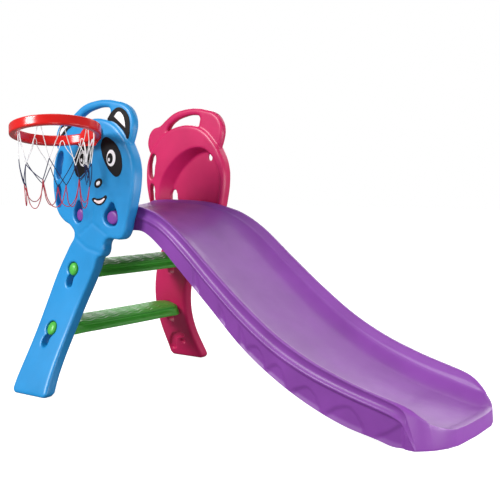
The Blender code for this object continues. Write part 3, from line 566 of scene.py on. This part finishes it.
# Pressed shapes along the skirt: points (x, height) of each upper edge
WAVES = [
    [(0.395, 0.378), (0.410, 0.352), (0.418, 0.318)],
    [(0.481, 0.288), (0.498, 0.262), (0.506, 0.236)],
    [(0.548, 0.238), (0.562, 0.214), (0.570, 0.184)],
    [(0.565, 0.174), (0.583, 0.187), (0.599, 0.190), (0.611, 0.182), (0.622, 0.166),
     (0.628, 0.140)],
    [(0.632, 0.134), (0.649, 0.147), (0.665, 0.151), (0.676, 0.141), (0.684, 0.124),
     (0.692, 0.100)],
    [(0.702, 0.088), (0.726, 0.102), (0.749, 0.108), (0.760, 0.103), (0.773, 0.090),
     (0.787, 0.062)],
    [(0.803, 0.052), (0.831, 0.069), (0.857, 0.077), (0.870, 0.074), (0.886, 0.060),
     (0.903, 0.034)],
    [(0.930, 0.016), (0.966, 0.033), (0.998, 0.056)],
]


def chute_at(x):
    """Rim, ledge, foot, bed and half width at x, on smooth curves through the stations."""
    last = len(CHUTE) - 1
    i = max(k for k in range(last) if CHUTE[k][0] <= x + 1e-9)
    left, right = CHUTE[i], CHUTE[i + 1]
    before, after = CHUTE[max(i - 1, 0)], CHUTE[min(i + 2, last)]
    span = right[0] - left[0]
    t = (x - left[0]) / span
    values = []
    for a, b, c, d in zip(before[1:], left[1:], right[1:], after[1:]):
        rise_in = (c - a) / (right[0] - before[0]) * span
        rise_out = (d - b) / (after[0] - left[0]) * span
        values.append(b * (2 * t ** 3 - 3 * t ** 2 + 1) + rise_in * (t ** 3 - 2 * t ** 2 + t)
                      + c * (3 * t ** 2 - 2 * t ** 3) + rise_out * (t ** 3 - t ** 2))
    return values


def rounded(corners, steps=5):
    """Open line through (y, z, radius) corners, each turned in the same number of steps."""
    out = [Vector(corners[0][:2])]
    for before, here, after in zip(corners, corners[1:], corners[2:]):
        p, q, r = Vector(before[:2]), Vector(here[:2]), Vector(after[:2])
        reach = min(here[2], (p - q).length * 0.48, (r - q).length * 0.48)
        start = q + (p - q).normalized() * reach
        end = q + (r - q).normalized() * reach
        for k in range(steps + 1):
            t = k / steps
            out.append(start * (1 - t) ** 2 + q * 2 * t * (1 - t) + end * t * t)
    out.append(Vector(corners[-1][:2]))
    return out


def smooth_step(low, high, value):
    """0 up to low, 1 from high, and a smooth rise between them."""
    t = min(1.0, max(0.0, (value - low) / (high - low)))
    return t * t * (3 - 2 * t)


def height_on(x, points):
    """Height of an open line at x."""
    for (ax, az), (bx, bz) in zip(points, points[1:]):
        if ax <= x <= bx:
            return az + (bz - az) * (x - ax) / (bx - ax)
    return -1.0


def skirt_recess(x):
    """How far the skirt lies behind the bead; deepest just before the exit's corner."""
    deep = 0.005 + 0.004 * smooth_step(0.60, 0.90, x)
    ending = 0.75 * smooth_step(1.000, 1.012, x) + 0.25 * smooth_step(1.012, 1.034, x)
    return deep * (1 - ending) * smooth_step(-0.071, -0.03, x)


def skirt_points(x, foot, top, face):
    """The near skirt from its foot up, with the waves pressed into it."""
    points = []
    for k in range(SKIRT_ROWS + 1):
        z = foot + (top - foot) * k / SKIRT_ROWS
        out = face
        for wave in WAVES:
            first, last = wave[0][0], wave[-1][0]
            if first - WAVE_MARGIN < x < last + WAVE_MARGIN:
                line = [(first - WAVE_DROP, -0.1)] + wave + [(last + WAVE_DROP, -0.1)]
                inside = distance_to_line(x, z, line) * (1 if z < height_on(x, line) else -1)
                out -= WAVE_DEPTH * smooth_step(*WAVE_EDGE, inside) * min(1.0, k / WAVE_FOOT)
        points.append(Vector((out, z)))
    return points


def chute_ring(x):
    """Cross-section at x: near skirt, bead, rim and bed, the same mirrored, then the underside."""
    rim, ledge, foot, bed, half = chute_at(x)
    foot = max(foot, 0.0)
    drop = rim - bed
    full = min(1.0, drop / FULL_DEPTH)
    wall = rim - ledge
    sag = BED_SAG * min(1.0, max(0.0, (BED_SAG_END - x) / BED_SAG_RUN))
    recess = skirt_recess(x) * min(1.0, (ledge - foot) / RECESS_SKIRT)
    waist = 1 - smooth_step(WAIST_START, WAIST_END, x)
    low = min(1.0, (ledge - foot) / LOW_SKIRT)
    # Each corner is its distance from the mid-plane, its height and its rounding
    corners = [
        (half - recess, ledge - SKIRT_TOP * low, 0.0),
        (half - recess * 0.85, ledge - BEAD_FOOT * low, BEAD_FOOT_ROUND * low),
        (half + BEAD_OUT, ledge - BEAD_MIDDLE * low, BEAD_ROUND * low),
        (half - 0.0015 - 0.0065 * waist, ledge + wall * 0.20, 0.009),
        (half - 0.0020 - 0.0050 * waist, ledge + wall * 0.66, 0.008),
        (half - 0.0020, rim - 0.0015, 0.0100),
        (half - 0.0150, rim, 0.010),
        (half - 0.0310, rim - RIM_FALL * full, 0.0100),
        (half - 0.0345, rim - 0.50 * drop, 0.005),
        (half - 0.0430, rim - 0.62 * drop, 0.008),
        (half - 0.0580, rim - 0.78 * drop, 0.012),
        (half - 0.0840, bed, 0.030),
        (half * 0.30, bed - sag, 0.030),
    ]
    half_top = rounded(corners, 4) + [Vector((half * 0.15, bed - sag)), Vector((0.0, bed - sag))]
    skirt = skirt_points(x, foot, ledge - SKIRT_LAST * low, half - recess)
    near = skirt + half_top
    closed = min(1.0, max(0.0, (x - CLOSING) / CLOSING_RUN))
    under = [(half * 0.5, bed - sag * 0.5 - CHUTE_WALL), (half - 0.064, bed - CHUTE_WALL),
             (half - 0.036, rim - drop * 0.8 - 0.004), (half - SKIRT_WALL, ledge - 0.012),
             (half - SKIRT_WALL - 0.001, (foot + ledge) / 2 - 0.006)]
    under = [(y, max(z, foot + 0.0005) * (1 - closed) + foot * closed) for y, z in under]
    middle = (0.0, (bed - sag - 0.010) * (1 - closed) + foot * closed)
    ring = [(p.x, p.y) for p in near] + [(-p.x, p.y) for p in reversed(near[:-1])]
    outer = len(ring)
    ring += [(-(half - SKIRT_WALL), foot)] + [(-y, z) for y, z in reversed(under)]
    ring += [middle] + under + [(half - SKIRT_WALL, foot)]
    ramp = min(1.0, max(0.0, (x - LIP_START) / (LIP_CREST - LIP_START)))
    tuck = max(0.0, (x - LIP_CREST) / (LIP_END - LIP_CREST))
    above = LIP_REACH * ramp * ramp - LIP_TUCK * tuck
    ramp = max(0.0, (x - LIP_START) / (LIP_END - LIP_START))
    below = (LIP_REACH - LIP_TUCK) * ramp * ramp
    points = []
    for number, (y, z) in enumerate(ring):
        plan = 1 - min(1.0, abs(y) / half) ** LIP_POWER
        if number >= outer:
            ahead = below * plan
        elif len(skirt) <= number < outer - len(skirt):
            ahead = above * plan
        else:
            ahead = 0.0
        points.append(Vector((x + ahead, y, z)) + ORIGIN)
    return points


# Domed end of a cheek tab: distance from the mid-plane and share of its size
TAB_DOME = [(0.170, 1.00), (0.206, 1.00), (0.2105, 0.97), (0.2127, 0.90), (0.2138, 0.78),
            (0.2145, 0.52), (0.2148, 0.18)]
TAB_POINTS = 56


def cheek_tab(side, tab_x, tab_z, half_x, half_z):
    rings = []
    for y, scale in TAB_DOME:
        turns = [2 * math.pi * k / TAB_POINTS for k in range(TAB_POINTS)]
        rings.append([Vector((tab_x + half_x * scale * math.cos(turn), side * y,
                              tab_z + half_z * scale * math.sin(turn))) + ORIGIN
                      for turn in turns])
    return loft("tab", rings)


def build_chute():
    places = []
    for left, right in zip(CHUTE, CHUTE[1:]):
        count = max(3, math.ceil((right[0] - left[0]) / CHUTE_SPACING))
        places += [left[0] + (right[0] - left[0]) * k / count for k in range(count)]
    places.append(CHUTE[-1][0])
    chute = loft("chute", [chute_ring(x) for x in places])
    dress(chute, "chute_shell", PURPLE, "slide", ("slide_chute",))
    for side, word in ((-1, "left"), (1, "right")):
        for number, size in enumerate(CHEEK_TABS):
            dress(cheek_tab(side, *size), f"chute_tab_{word}_{number}", PURPLE, "slide")


# ---- steps
# Name, x and height of the section's middle, and the step's keyhole
STEPS = [("lower_step", -0.066, 0.184, 0), ("upper_step", -0.010, 0.350, 1)]
STEP_STATIONS = 100  # stations from the middle to each end
STEP_BOW = 0.008  # the middle bows this far towards the exit
STEP_END = 0.9  # the section shrinks by STEP_SHRINK beyond this share
STEP_SHRINK = 0.10
# The hollow along the edge on the exit's side closes towards the ends
COVE_START = 0.030
COVE_RAMP = 0.008
COVE_FRONT = 0.0475
COVE_FADE = (0.70, 0.96)
# Wavy ridges on the tread, which end at share RIDGE_END
RIDGE_PITCH = 0.0105
RIDGE_HEIGHT = 0.0014
RIDGE_SWING = 0.0035
RIDGE_SWING_LENGTH = 0.05
RIDGE_LEVEL = 0.006
RIDGE_RAMP = 0.003
RIDGE_END = 0.86
RIDGE_FADE = 0.04
TAB_HALF_X = 0.0160
TAB_HALF_Z = 0.0185
# Section (x, height), from the edge on the exit's side over the tread and back underneath
STEP_SECTION = [
    (0.047, 0.002), (0.045, 0.006), (0.036, 0.011), (0.022, 0.015), (0.006, 0.018),
    (-0.012, 0.019), (-0.028, 0.016), (-0.039, 0.011), (-0.044, 0.004), (-0.045, -0.005),
    (-0.044, -0.015), (-0.038, -0.022), (-0.026, -0.025), (-0.010, -0.0255),
    (0.010, -0.0265), (0.028, -0.027), (0.042, -0.0265), (0.0485, -0.0225), (0.048, -0.017),
    (0.042, -0.011), (0.0375, -0.007), (0.0375, -0.0035), (0.0425, -0.0005),
]


def build_step(name, x0, z0, key):
    section = smooth_ring(STEP_SECTION, 132)
    key_x, key_z = KEYHOLES[key]
    inner = stance(z0) - BODY_HALF - FIT_GAP

    def tread(side, s):
        """Ring at share s of the way from the middle to one end."""
        shrink = 1.0 - STEP_SHRINK * max(0.0, (s - STEP_END) / 0.1)
        ring = []
        for p in section:
            x, z = p
            y = s * inner
            if x > COVE_START and z < 0.0:
                share = min(1.0, (x - COVE_START) / COVE_RAMP)
                x += (COVE_FRONT - x) * smooth_step(*COVE_FADE, s) * share
            if z > RIDGE_LEVEL and s < RIDGE_END:
                rise = min(1.0, (z - RIDGE_LEVEL) / RIDGE_RAMP)
                fade = min(1.0, (RIDGE_END - s) / RIDGE_FADE) * rise
                swing = RIDGE_SWING * math.sin(side * y * 2 * math.pi / RIDGE_SWING_LENGTH)
                ripple = math.sin(2 * math.pi * (x + swing) / RIDGE_PITCH)
                z += RIDGE_HEIGHT * fade * ripple
            height = z0 + z * shrink
            edge = stance(height) - BODY_HALF - FIT_GAP
            ring.append(Vector((x0 + x * shrink + STEP_BOW * (1 - s * s), side * s * edge, height))
                        + ORIGIN)
        return ring

    def tab(side, reach, scale):
        """Ring of the tab that fills the keyhole, reach outwards from the panel's middle."""
        ring = []
        for p in section:
            angle = math.atan2(p.y, p.x)
            height = key_z + TAB_HALF_Z * scale * math.sin(angle)
            ring.append(Vector((key_x + TAB_HALF_X * scale * math.cos(angle),
                                side * (stance(height) + reach), height)) + ORIGIN)
        return ring

    dome = [(BODY_HALF - 0.006, 1.0), (BODY_HALF - 0.003, 0.96), (BODY_HALF - 0.0005, 0.86),
            (BODY_HALF + 0.0015, 0.70), (BODY_HALF + 0.0028, 0.48), (BODY_HALF + 0.0034, 0.2)]
    stations = [k / STEP_STATIONS for k in range(STEP_STATIONS + 1)]
    root = -BODY_HALF - FIT_GAP
    rings = [tab(-1, reach, scale) for reach, scale in reversed(dome)]
    rings.append(tab(-1, root, 1.0))
    rings += [tread(-1, s) for s in reversed(stations)]
    rings += [tread(1, s) for s in stations[1:]]
    rings.append(tab(1, root, 1.0))
    rings += [tab(1, reach, scale) for reach, scale in dome]
    step = loft(name, rings)
    dress(step, name + "_moulding", GREEN, "slide", (name,))


# ---- hoop
HOOP = Vector((0.0560, -0.3520, 0.7295))
HOOP_R = 0.1200  # outer radius
HOOP_WIDTH = 0.018
HOOP_HEIGHT = 0.0275
HOOP_EDGE = 0.004  # rounding of the ring's edges
HOOP_VOXEL = 0.0016
HOOP_SMOOTHING = 5
HOOP_HEADING = 35.7  # degrees: the ring tips about this line and across it
HOOP_TIP = 11.4
HOOP_TIP_ACROSS = 2.5
ARM_EDGE = 0.005
ARM_GAP = 0.0017  # gap between the arm's flange and the panel
ARM_OVERLAP = 0.010  # how far the arm runs into the ring
ARM_DROP = 0.0245  # the arm meets the ring this far below its middle
ARM_NECK = (0.0259, 0.0079)  # half sizes of the arm inside the socket
# The flange's faces: distance from the panel, half sizes and rise
ARM_FLANGE = ((0.0, 0.033, 0.0175, 0.0), (0.0055, 0.0335, 0.0165, -0.001))
ARM_TIP = (0.036, 0.0140)


def hoop_turn():
    """Rotation that tips the ring out of the level."""
    heading = math.radians(HOOP_HEADING)
    line = Vector((math.cos(heading), math.sin(heading), 0))
    across = Vector((-line.y, line.x, 0))
    return (Matrix.Rotation(-math.radians(HOOP_TIP), 3, line)
            @ Matrix.Rotation(-math.radians(HOOP_TIP_ACROSS), 3, across))


def rounded_box(half_x, half_z, edge, steps):
    """Closed outline of a rectangle with rounded corners, from the middle of its top."""
    return rounded([(0, half_z, 0), (half_x, half_z, edge), (half_x, -half_z, edge),
                    (-half_x, -half_z, edge), (-half_x, half_z, edge), (0, half_z, 0)], steps)[:-1]


def build_hoop():
    turn = hoop_turn()
    half_w = HOOP_WIDTH / 2
    middle = HOOP_R - half_w
    profile = rounded_box(half_w, HOOP_HEIGHT / 2, HOOP_EDGE, 5)
    rings = []
    for k in range(160):
        a = 2 * math.pi * k / 160
        rings.append([HOOP + turn @ Vector(((middle + p.x) * math.cos(a),
                                            (middle + p.x) * math.sin(a), p.y)) for p in profile])
    ring = loft("ring", rings, closed=True)
    x0, z0, depth = SOCKET[0], SOCKET[1], SOCKET[4]
    face = stance(z0) + BODY_HALF + ARM_GAP
    tip = -(HOOP.y + HOOP_R - ARM_OVERLAP)
    stages = [(face - depth + FIT_GAP, *ARM_NECK, 0.0), (face - FIT_GAP, *ARM_NECK, 0.0)]
    stages += [(face + out, half_x, half_z, rise) for out, half_x, half_z, rise in ARM_FLANGE]
    stages.append((tip, *ARM_TIP, HOOP.z - ARM_DROP - z0))
    rings = []
    for y, half_x, half_z, rise in stages:
        rings.append([(x0 + p.x, -y, z0 + rise + p.y)
                      for p in rounded_box(half_x, half_z, ARM_EDGE, 4)])
    arm = loft("arm", rings)
    boolean(ring, arm, "UNION")
    melt(ring, HOOP_VOXEL, HOOP_SMOOTHING)
    ring.data.transform(Matrix.Translation(ORIGIN))
    dress(ring, "hoop_moulding", RED, "hoop", ("hoop_ring",))


# ---- net
NET_SEED = 11
NET_LOOPS = 9
NET_GAP = 0.0013  # gap between a loop and the ring's inner side
WHITE_RADIUS = 0.0011
COLOUR_RADIUS = 0.0012
# Radius and height of the knots where white meets navy, and where navy meets red
UPPER_KNOTS = (0.092, 0.645)
LOWER_KNOTS = (0.087, 0.590)
LOOP_SPREAD = 0.060  # half angle of a white loop on the ring, in radians
LOOP_FOOT = -0.016  # level at which a loop leaves the ring
LOOP_LEAVE = -0.020
RED_SAG = 0.056
KNOT = (72, 0.084, 0.640)  # the bundle's angle in degrees, radius and height


def cord_object(name, lines, radius, material, node):
    """Cords of one colour as one mesh, each on a smooth curve through its points."""
    curve = bpy.data.curves.new(name, "CURVE")
    curve.dimensions = "3D"
    curve.bevel_depth = radius
    curve.bevel_resolution = 2
    curve.resolution_u = 6
    curve.use_fill_caps = True
    for points in lines:
        spline = curve.splines.new("BEZIER")
        spline.bezier_points.add(len(points) - 1)
        for point, place in zip(spline.bezier_points, points):
            point.co = place
            point.handle_left_type = "AUTO"
            point.handle_right_type = "AUTO"
    holder = new_object(name, curve)
    mesh = evaluated_mesh(holder)
    bpy.data.objects.remove(holder, do_unlink=True)
    made = new_object(name, mesh)
    return dress(made, name, material, "hoop", (node,))


def build_net():
    """Cords looped on the ring's inner side, knotted into white, navy and red rounds."""
    rng = random.Random(NET_SEED)
    turn = hoop_turn()
    count = NET_LOOPS
    inner = HOOP_R - HOOP_WIDTH - NET_GAP

    def around(angle, r, z):
        """Point at a radius from the hoop's axis and a height above the floor."""
        return Vector((HOOP.x + r * math.cos(angle), HOOP.y + r * math.sin(angle), z)) + ORIGIN

    def hook(angle, drop, r=inner):
        """Point beside the tipped ring's inner face, drop above its middle."""
        return HOOP + ORIGIN + turn @ Vector((r * math.cos(angle), r * math.sin(angle), drop))

    def hanging(p, q, sag, out):
        """Cord from p to q that sags by sag and stands out by out at its middle."""
        away = (p + q) / 2 - HOOP - ORIGIN
        away.z = 0
        away.normalize()
        line = [p]
        for share in (0.08, 0.25, 0.5, 0.75, 0.92):
            dip = 1 - abs(2 * share - 1) ** 2.6
            line.append(p * (1 - share) + q * share + Vector((0, 0, -sag * dip))
                        + away * out * dip)
        return line + [q]

    hooks, upper, lower = [], [], []
    for k in range(count):
        a = 2 * math.pi * (k + 0.28) / count + rng.uniform(-0.07, 0.07)
        hooks.append(a)
        b = a + math.pi / count + rng.uniform(-0.12, 0.12)
        upper.append(around(b, UPPER_KNOTS[0] + rng.uniform(-0.005, 0.004),
                            UPPER_KNOTS[1] + rng.uniform(-0.016, 0.013)))
        c = a + 2 * math.pi / count + rng.uniform(-0.13, 0.13)
        lower.append(around(c, LOWER_KNOTS[0] + rng.uniform(-0.006, 0.004),
                            LOWER_KNOTS[1] + rng.uniform(-0.014, 0.012)))
    whites, navies, reds = [], [], []
    for k in range(count):
        a = hooks[k]
        crest = rng.uniform(-0.004, 0.004)
        spread = LOOP_SPREAD + rng.uniform(-0.012, 0.014)
        right, left = upper[k - 1], upper[k]
        whites.append([right, right * 0.6 + hook(a - spread, LOOP_LEAVE) * 0.4,
                       hook(a - spread, LOOP_FOOT), hook(a - spread * 0.8, crest - 0.006),
                       hook(a, crest), hook(a + spread * 0.8, crest - 0.006),
                       hook(a + spread, LOOP_FOOT),
                       left * 0.6 + hook(a + spread, LOOP_LEAVE) * 0.4, left])
        navies.append(hanging(left, lower[k], 0.002, 0.003))
        navies.append(hanging(left, lower[k - 1], 0.003, 0.002))
        reds.append(hanging(lower[k], lower[(k + 1) % count],
                            RED_SAG + rng.uniform(-0.012, 0.010), -0.002))
    # Cord ends knotted into a loose bundle on the panel's side
    knot = around(math.radians(KNOT[0]), KNOT[1], KNOT[2])
    for k in range(5):
        turned = math.radians(50 + 12 * k)
        foot = knot + Vector((0.016 * math.cos(turned), 0.008 * math.sin(turned),
                              -0.030 - 0.006 * k))
        navies.append([knot + Vector((0.003 * (k - 2), 0, 0.002 * k)),
                       (knot + foot) / 2 + Vector((0.010 * (k % 2) - 0.005, 0.002, 0.004)), foot])
        whites.append([hook(turned, LOOP_FOOT, inner - 0.001 * k),
                       (hook(turned, LOOP_LEAVE) + knot) / 2 + Vector((0.003 * (k - 2), 0.001, 0)),
                       knot + Vector((0.003 * (2 - k), 0, 0.001 * k))])
    cord_object("net_white", whites, WHITE_RADIUS, WHITE_CORD, "net_white_cords")
    cord_object("net_navy", navies, COLOUR_RADIUS, NAVY_CORD, "net_navy_cords")
    cord_object("net_red", reds, COLOUR_RADIUS, RED_CORD, "net_red_cords")


# ---- stickers
STICKER_LIFT = 0.0003  # gap below the lowest layer
STICKER_LAYER = 0.0005  # rise from one layer to the next
STICKER_THICK = 0.0007
STICKER_EDGE = 0.0002


def sticker(name, outline, surface, level, material, replaces=()):
    """One printed layer on the near panel's outer face."""
    base = (BODY_HALF if surface == "body" else EAR_HALF) + STICKER_LIFT + level * STICKER_LAYER
    plate = flat_solid(name, [outline], base, base + STICKER_THICK, STICKER_EDGE)
    bend(plate, -1)
    dress(plate, name, material, "slide", replaces)


def build_stickers():
    front_eye = [(0.103, 0.716), (0.089, 0.700), (0.091, 0.675), (0.105, 0.645), (0.128, 0.618),
                 (0.150, 0.608), (0.165, 0.622), (0.168, 0.650), (0.157, 0.682), (0.130, 0.708)]
    rear_eye = [(0.045, 0.706), (0.058, 0.690), (0.056, 0.668), (0.042, 0.640), (0.020, 0.616),
                (-0.001, 0.607), (-0.014, 0.622), (-0.017, 0.648), (-0.007, 0.678),
                (0.018, 0.700)]
    nose = oval(0.0785, 0.5905, 0.0165, 0.0120, turn=0.55)
    mouth = [(0.0545, 0.5455), (0.0620, 0.5500), (0.0740, 0.5480), (0.0860, 0.5485),
             (0.0980, 0.5525), (0.1085, 0.5575), (0.1120, 0.5535), (0.1075, 0.5435),
             (0.0970, 0.5335), (0.0820, 0.5290), (0.0670, 0.5330), (0.0575, 0.5395)]
    front_ear = [(0.107, 0.763), (0.113, 0.775), (0.127, 0.788), (0.146, 0.796), (0.165, 0.791),
                 (0.180, 0.779), (0.189, 0.760), (0.190, 0.738), (0.187, 0.717), (0.182, 0.710),
                 (0.172, 0.724), (0.158, 0.739), (0.142, 0.751), (0.125, 0.759)]
    rear_ear = [(-0.086, 0.714), (-0.090, 0.728), (-0.082, 0.744), (-0.066, 0.756),
                (-0.048, 0.758), (-0.034, 0.753), (-0.050, 0.741), (-0.069, 0.724)]
    for word, patch, white_x, pupil_x, glint_x in (
            ("front", front_eye, 0.1275, 0.1240, 0.1205),
            ("rear", rear_eye, 0.0200, 0.0170, 0.0135)):
        name = word + "_eye_"
        sticker(name + "patch", patch, "body", 0, INK, (f"sticker_{word}_eye",))
        sticker(name + "white", oval(white_x, 0.659, 0.0165, 0.0225), "body", 1, PAPER)
        sticker(name + "pupil", oval(pupil_x, 0.658, 0.0105, 0.0145), "body", 2, INK)
        sticker(name + "glint", oval(glint_x, 0.6545, 0.0036, 0.0050), "body", 3, PAPER)
    sticker("nose_patch", nose, "body", 0, INK, ("sticker_nose",))
    sticker("nose_white", oval(0.0787, 0.5902, 0.0082, 0.0052, turn=0.55), "body", 1, PAPER)
    sticker("mouth_patch", mouth, "body", 0, INK, ("sticker_mouth",))
    sticker("mouth_white", [(0.0640, 0.5430), (0.0740, 0.5425), (0.0840, 0.5425),
                            (0.0940, 0.5450), (0.1035, 0.5485), (0.0990, 0.5410),
                            (0.0900, 0.5355), (0.0800, 0.5340), (0.0700, 0.5375)],
            "body", 1, BLUSH)
    sticker("front_ear_patch", front_ear, "ear", 0, INK, ("sticker_front_ear",))
    sticker("front_ear_white", [(0.132, 0.772, "c"), (0.148, 0.784), (0.163, 0.776),
                                (0.171, 0.758), (0.1735, 0.741, "c"), (0.152, 0.757)],
            "ear", 1, PAPER)
    sticker("rear_ear_patch", rear_ear, "ear", 0, INK, ("sticker_rear_ear",))
    sticker("rear_ear_white", [(-0.081, 0.723, "c"), (-0.080, 0.737), (-0.067, 0.749),
                               (-0.050, 0.750, "c"), (-0.068, 0.737)], "ear", 1, PAPER)


# ---- stage
FLOOR_SIZE = 14.0  # half its side
FLOOR_BOUNCE = 0.24  # what the floor reflects onto the object
FLOOR_SHADE = (0.45, 0.45, 0.46, 1)  # seen directly, it is this pale and glows by FLOOR_GLOW
FLOOR_GLOW = 0.93
SKY = 0.28
CAMERA_PLACE = (1.870, -1.993, 0.607)
CAMERA_TURN = (85.35, 0, 35.7)  # degrees
CAMERA_LENS = 64.5
CAMERA_SENSOR = 36.0
# Name, place, aim, side and power of each square light
LIGHTS = [
    ("key", (-1.5, -3.3, 2.2), (0.0, 0.0, 0.4), 1.4, 156),
    ("top", (0.4, -0.9, 3.2), (0.5, 0.0, 0.2), 1.4, 14),
    ("back", (0.6, 2.9, 2.6), (0.5, 0.0, 0.2), 2.4, 27),
    ("backdrop", (-0.9, 3.3, 1.2), (0.6, 0.0, 0.2), 1.2, 14),
    ("back_left", (-2.2, 2.5, 2.3), (0.4, 0.0, 0.3), 1.4, 26),
    ("front", (1.85, -0.05, 0.40), (1.05, 0.0, 0.05), 0.5, 16),
    ("low_fill", (1.9, -2.4, 0.35), (0.0, 0.0, 0.22), 0.9, 20),
    ("low_side", (1.5, 1.1, 0.25), (0.0, 0.0, 0.15), 0.5, 11),
]


def build_stage():
    """White floor and surroundings that look the same to the camera, and the lights."""
    floor = bpy.data.meshes.new("floor")
    size = FLOOR_SIZE
    floor.from_pydata([(-size, -size, 0), (size, -size, 0), (size, size, 0), (-size, size, 0)], [],
                      [(0, 1, 2, 3)])
    ground = new_object("floor", floor)
    white = bpy.data.materials.new("studio_white")
    white.use_nodes = True
    nodes, links = white.node_tree.nodes, white.node_tree.links
    nodes.remove(nodes["Principled BSDF"])
    matte = nodes.new("ShaderNodeBsdfDiffuse")
    matte.inputs["Color"].default_value = (FLOOR_BOUNCE, FLOOR_BOUNCE, FLOOR_BOUNCE, 1)
    pale = nodes.new("ShaderNodeBsdfDiffuse")
    pale.inputs["Color"].default_value = FLOOR_SHADE
    glow = nodes.new("ShaderNodeEmission")
    glow.inputs["Strength"].default_value = FLOOR_GLOW
    both = nodes.new("ShaderNodeAddShader")
    links.new(pale.outputs[0], both.inputs[0])
    links.new(glow.outputs[0], both.inputs[1])
    path = nodes.new("ShaderNodeLightPath")
    pick = nodes.new("ShaderNodeMixShader")
    links.new(path.outputs["Is Camera Ray"], pick.inputs[0])
    links.new(matte.outputs[0], pick.inputs[1])
    links.new(both.outputs[0], pick.inputs[2])
    links.new(pick.outputs[0], nodes["Material Output"].inputs["Surface"])
    ground.data.materials.append(white)
    world = bpy.data.worlds.new("studio")
    bpy.context.scene.world = world
    world.use_nodes = True
    nodes, links = world.node_tree.nodes, world.node_tree.links
    sky = nodes["Background"]
    sky.inputs["Strength"].default_value = SKY
    backdrop = nodes.new("ShaderNodeBackground")
    backdrop.inputs["Color"].default_value = (1, 1, 1, 1)
    sky.inputs["Color"].default_value = (1, 1, 1, 1)
    path = nodes.new("ShaderNodeLightPath")
    pick = nodes.new("ShaderNodeMixShader")
    links.new(path.outputs["Is Camera Ray"], pick.inputs[0])
    links.new(sky.outputs[0], pick.inputs[1])
    links.new(backdrop.outputs[0], pick.inputs[2])
    links.new(pick.outputs[0], nodes["World Output"].inputs["Surface"])
    for name, place, aim, size, power in LIGHTS:
        light = bpy.data.lights.new(name, "AREA")
        light.size = size
        light.energy = power
        holder = bpy.data.objects.new(name, light)
        bpy.context.scene.collection.objects.link(holder)
        holder.location = place
        holder.rotation_euler = (Vector(aim) - Vector(place)).to_track_quat("-Z", "Y").to_euler()
    bpy.context.scene.view_settings.view_transform = "Standard"


def build_camera():
    data = bpy.data.cameras.new("camera")
    data.lens = CAMERA_LENS
    data.sensor_width = CAMERA_SENSOR
    camera = bpy.data.objects.new("camera", data)
    bpy.context.scene.collection.objects.link(camera)
    camera.location = Vector(CAMERA_PLACE) + ORIGIN
    camera.rotation_euler = Euler([math.radians(angle) for angle in CAMERA_TURN])
    bpy.context.scene.camera = camera


build_camera()
build_stage()
build_panel("left_side_panel", -1, BLUE)
build_panel("right_side_panel", 1, PINK)
build_chute()
for step in STEPS:
    build_step(*step)
build_hoop()
build_net()
build_stickers()

bpy.context.view_layer.update()
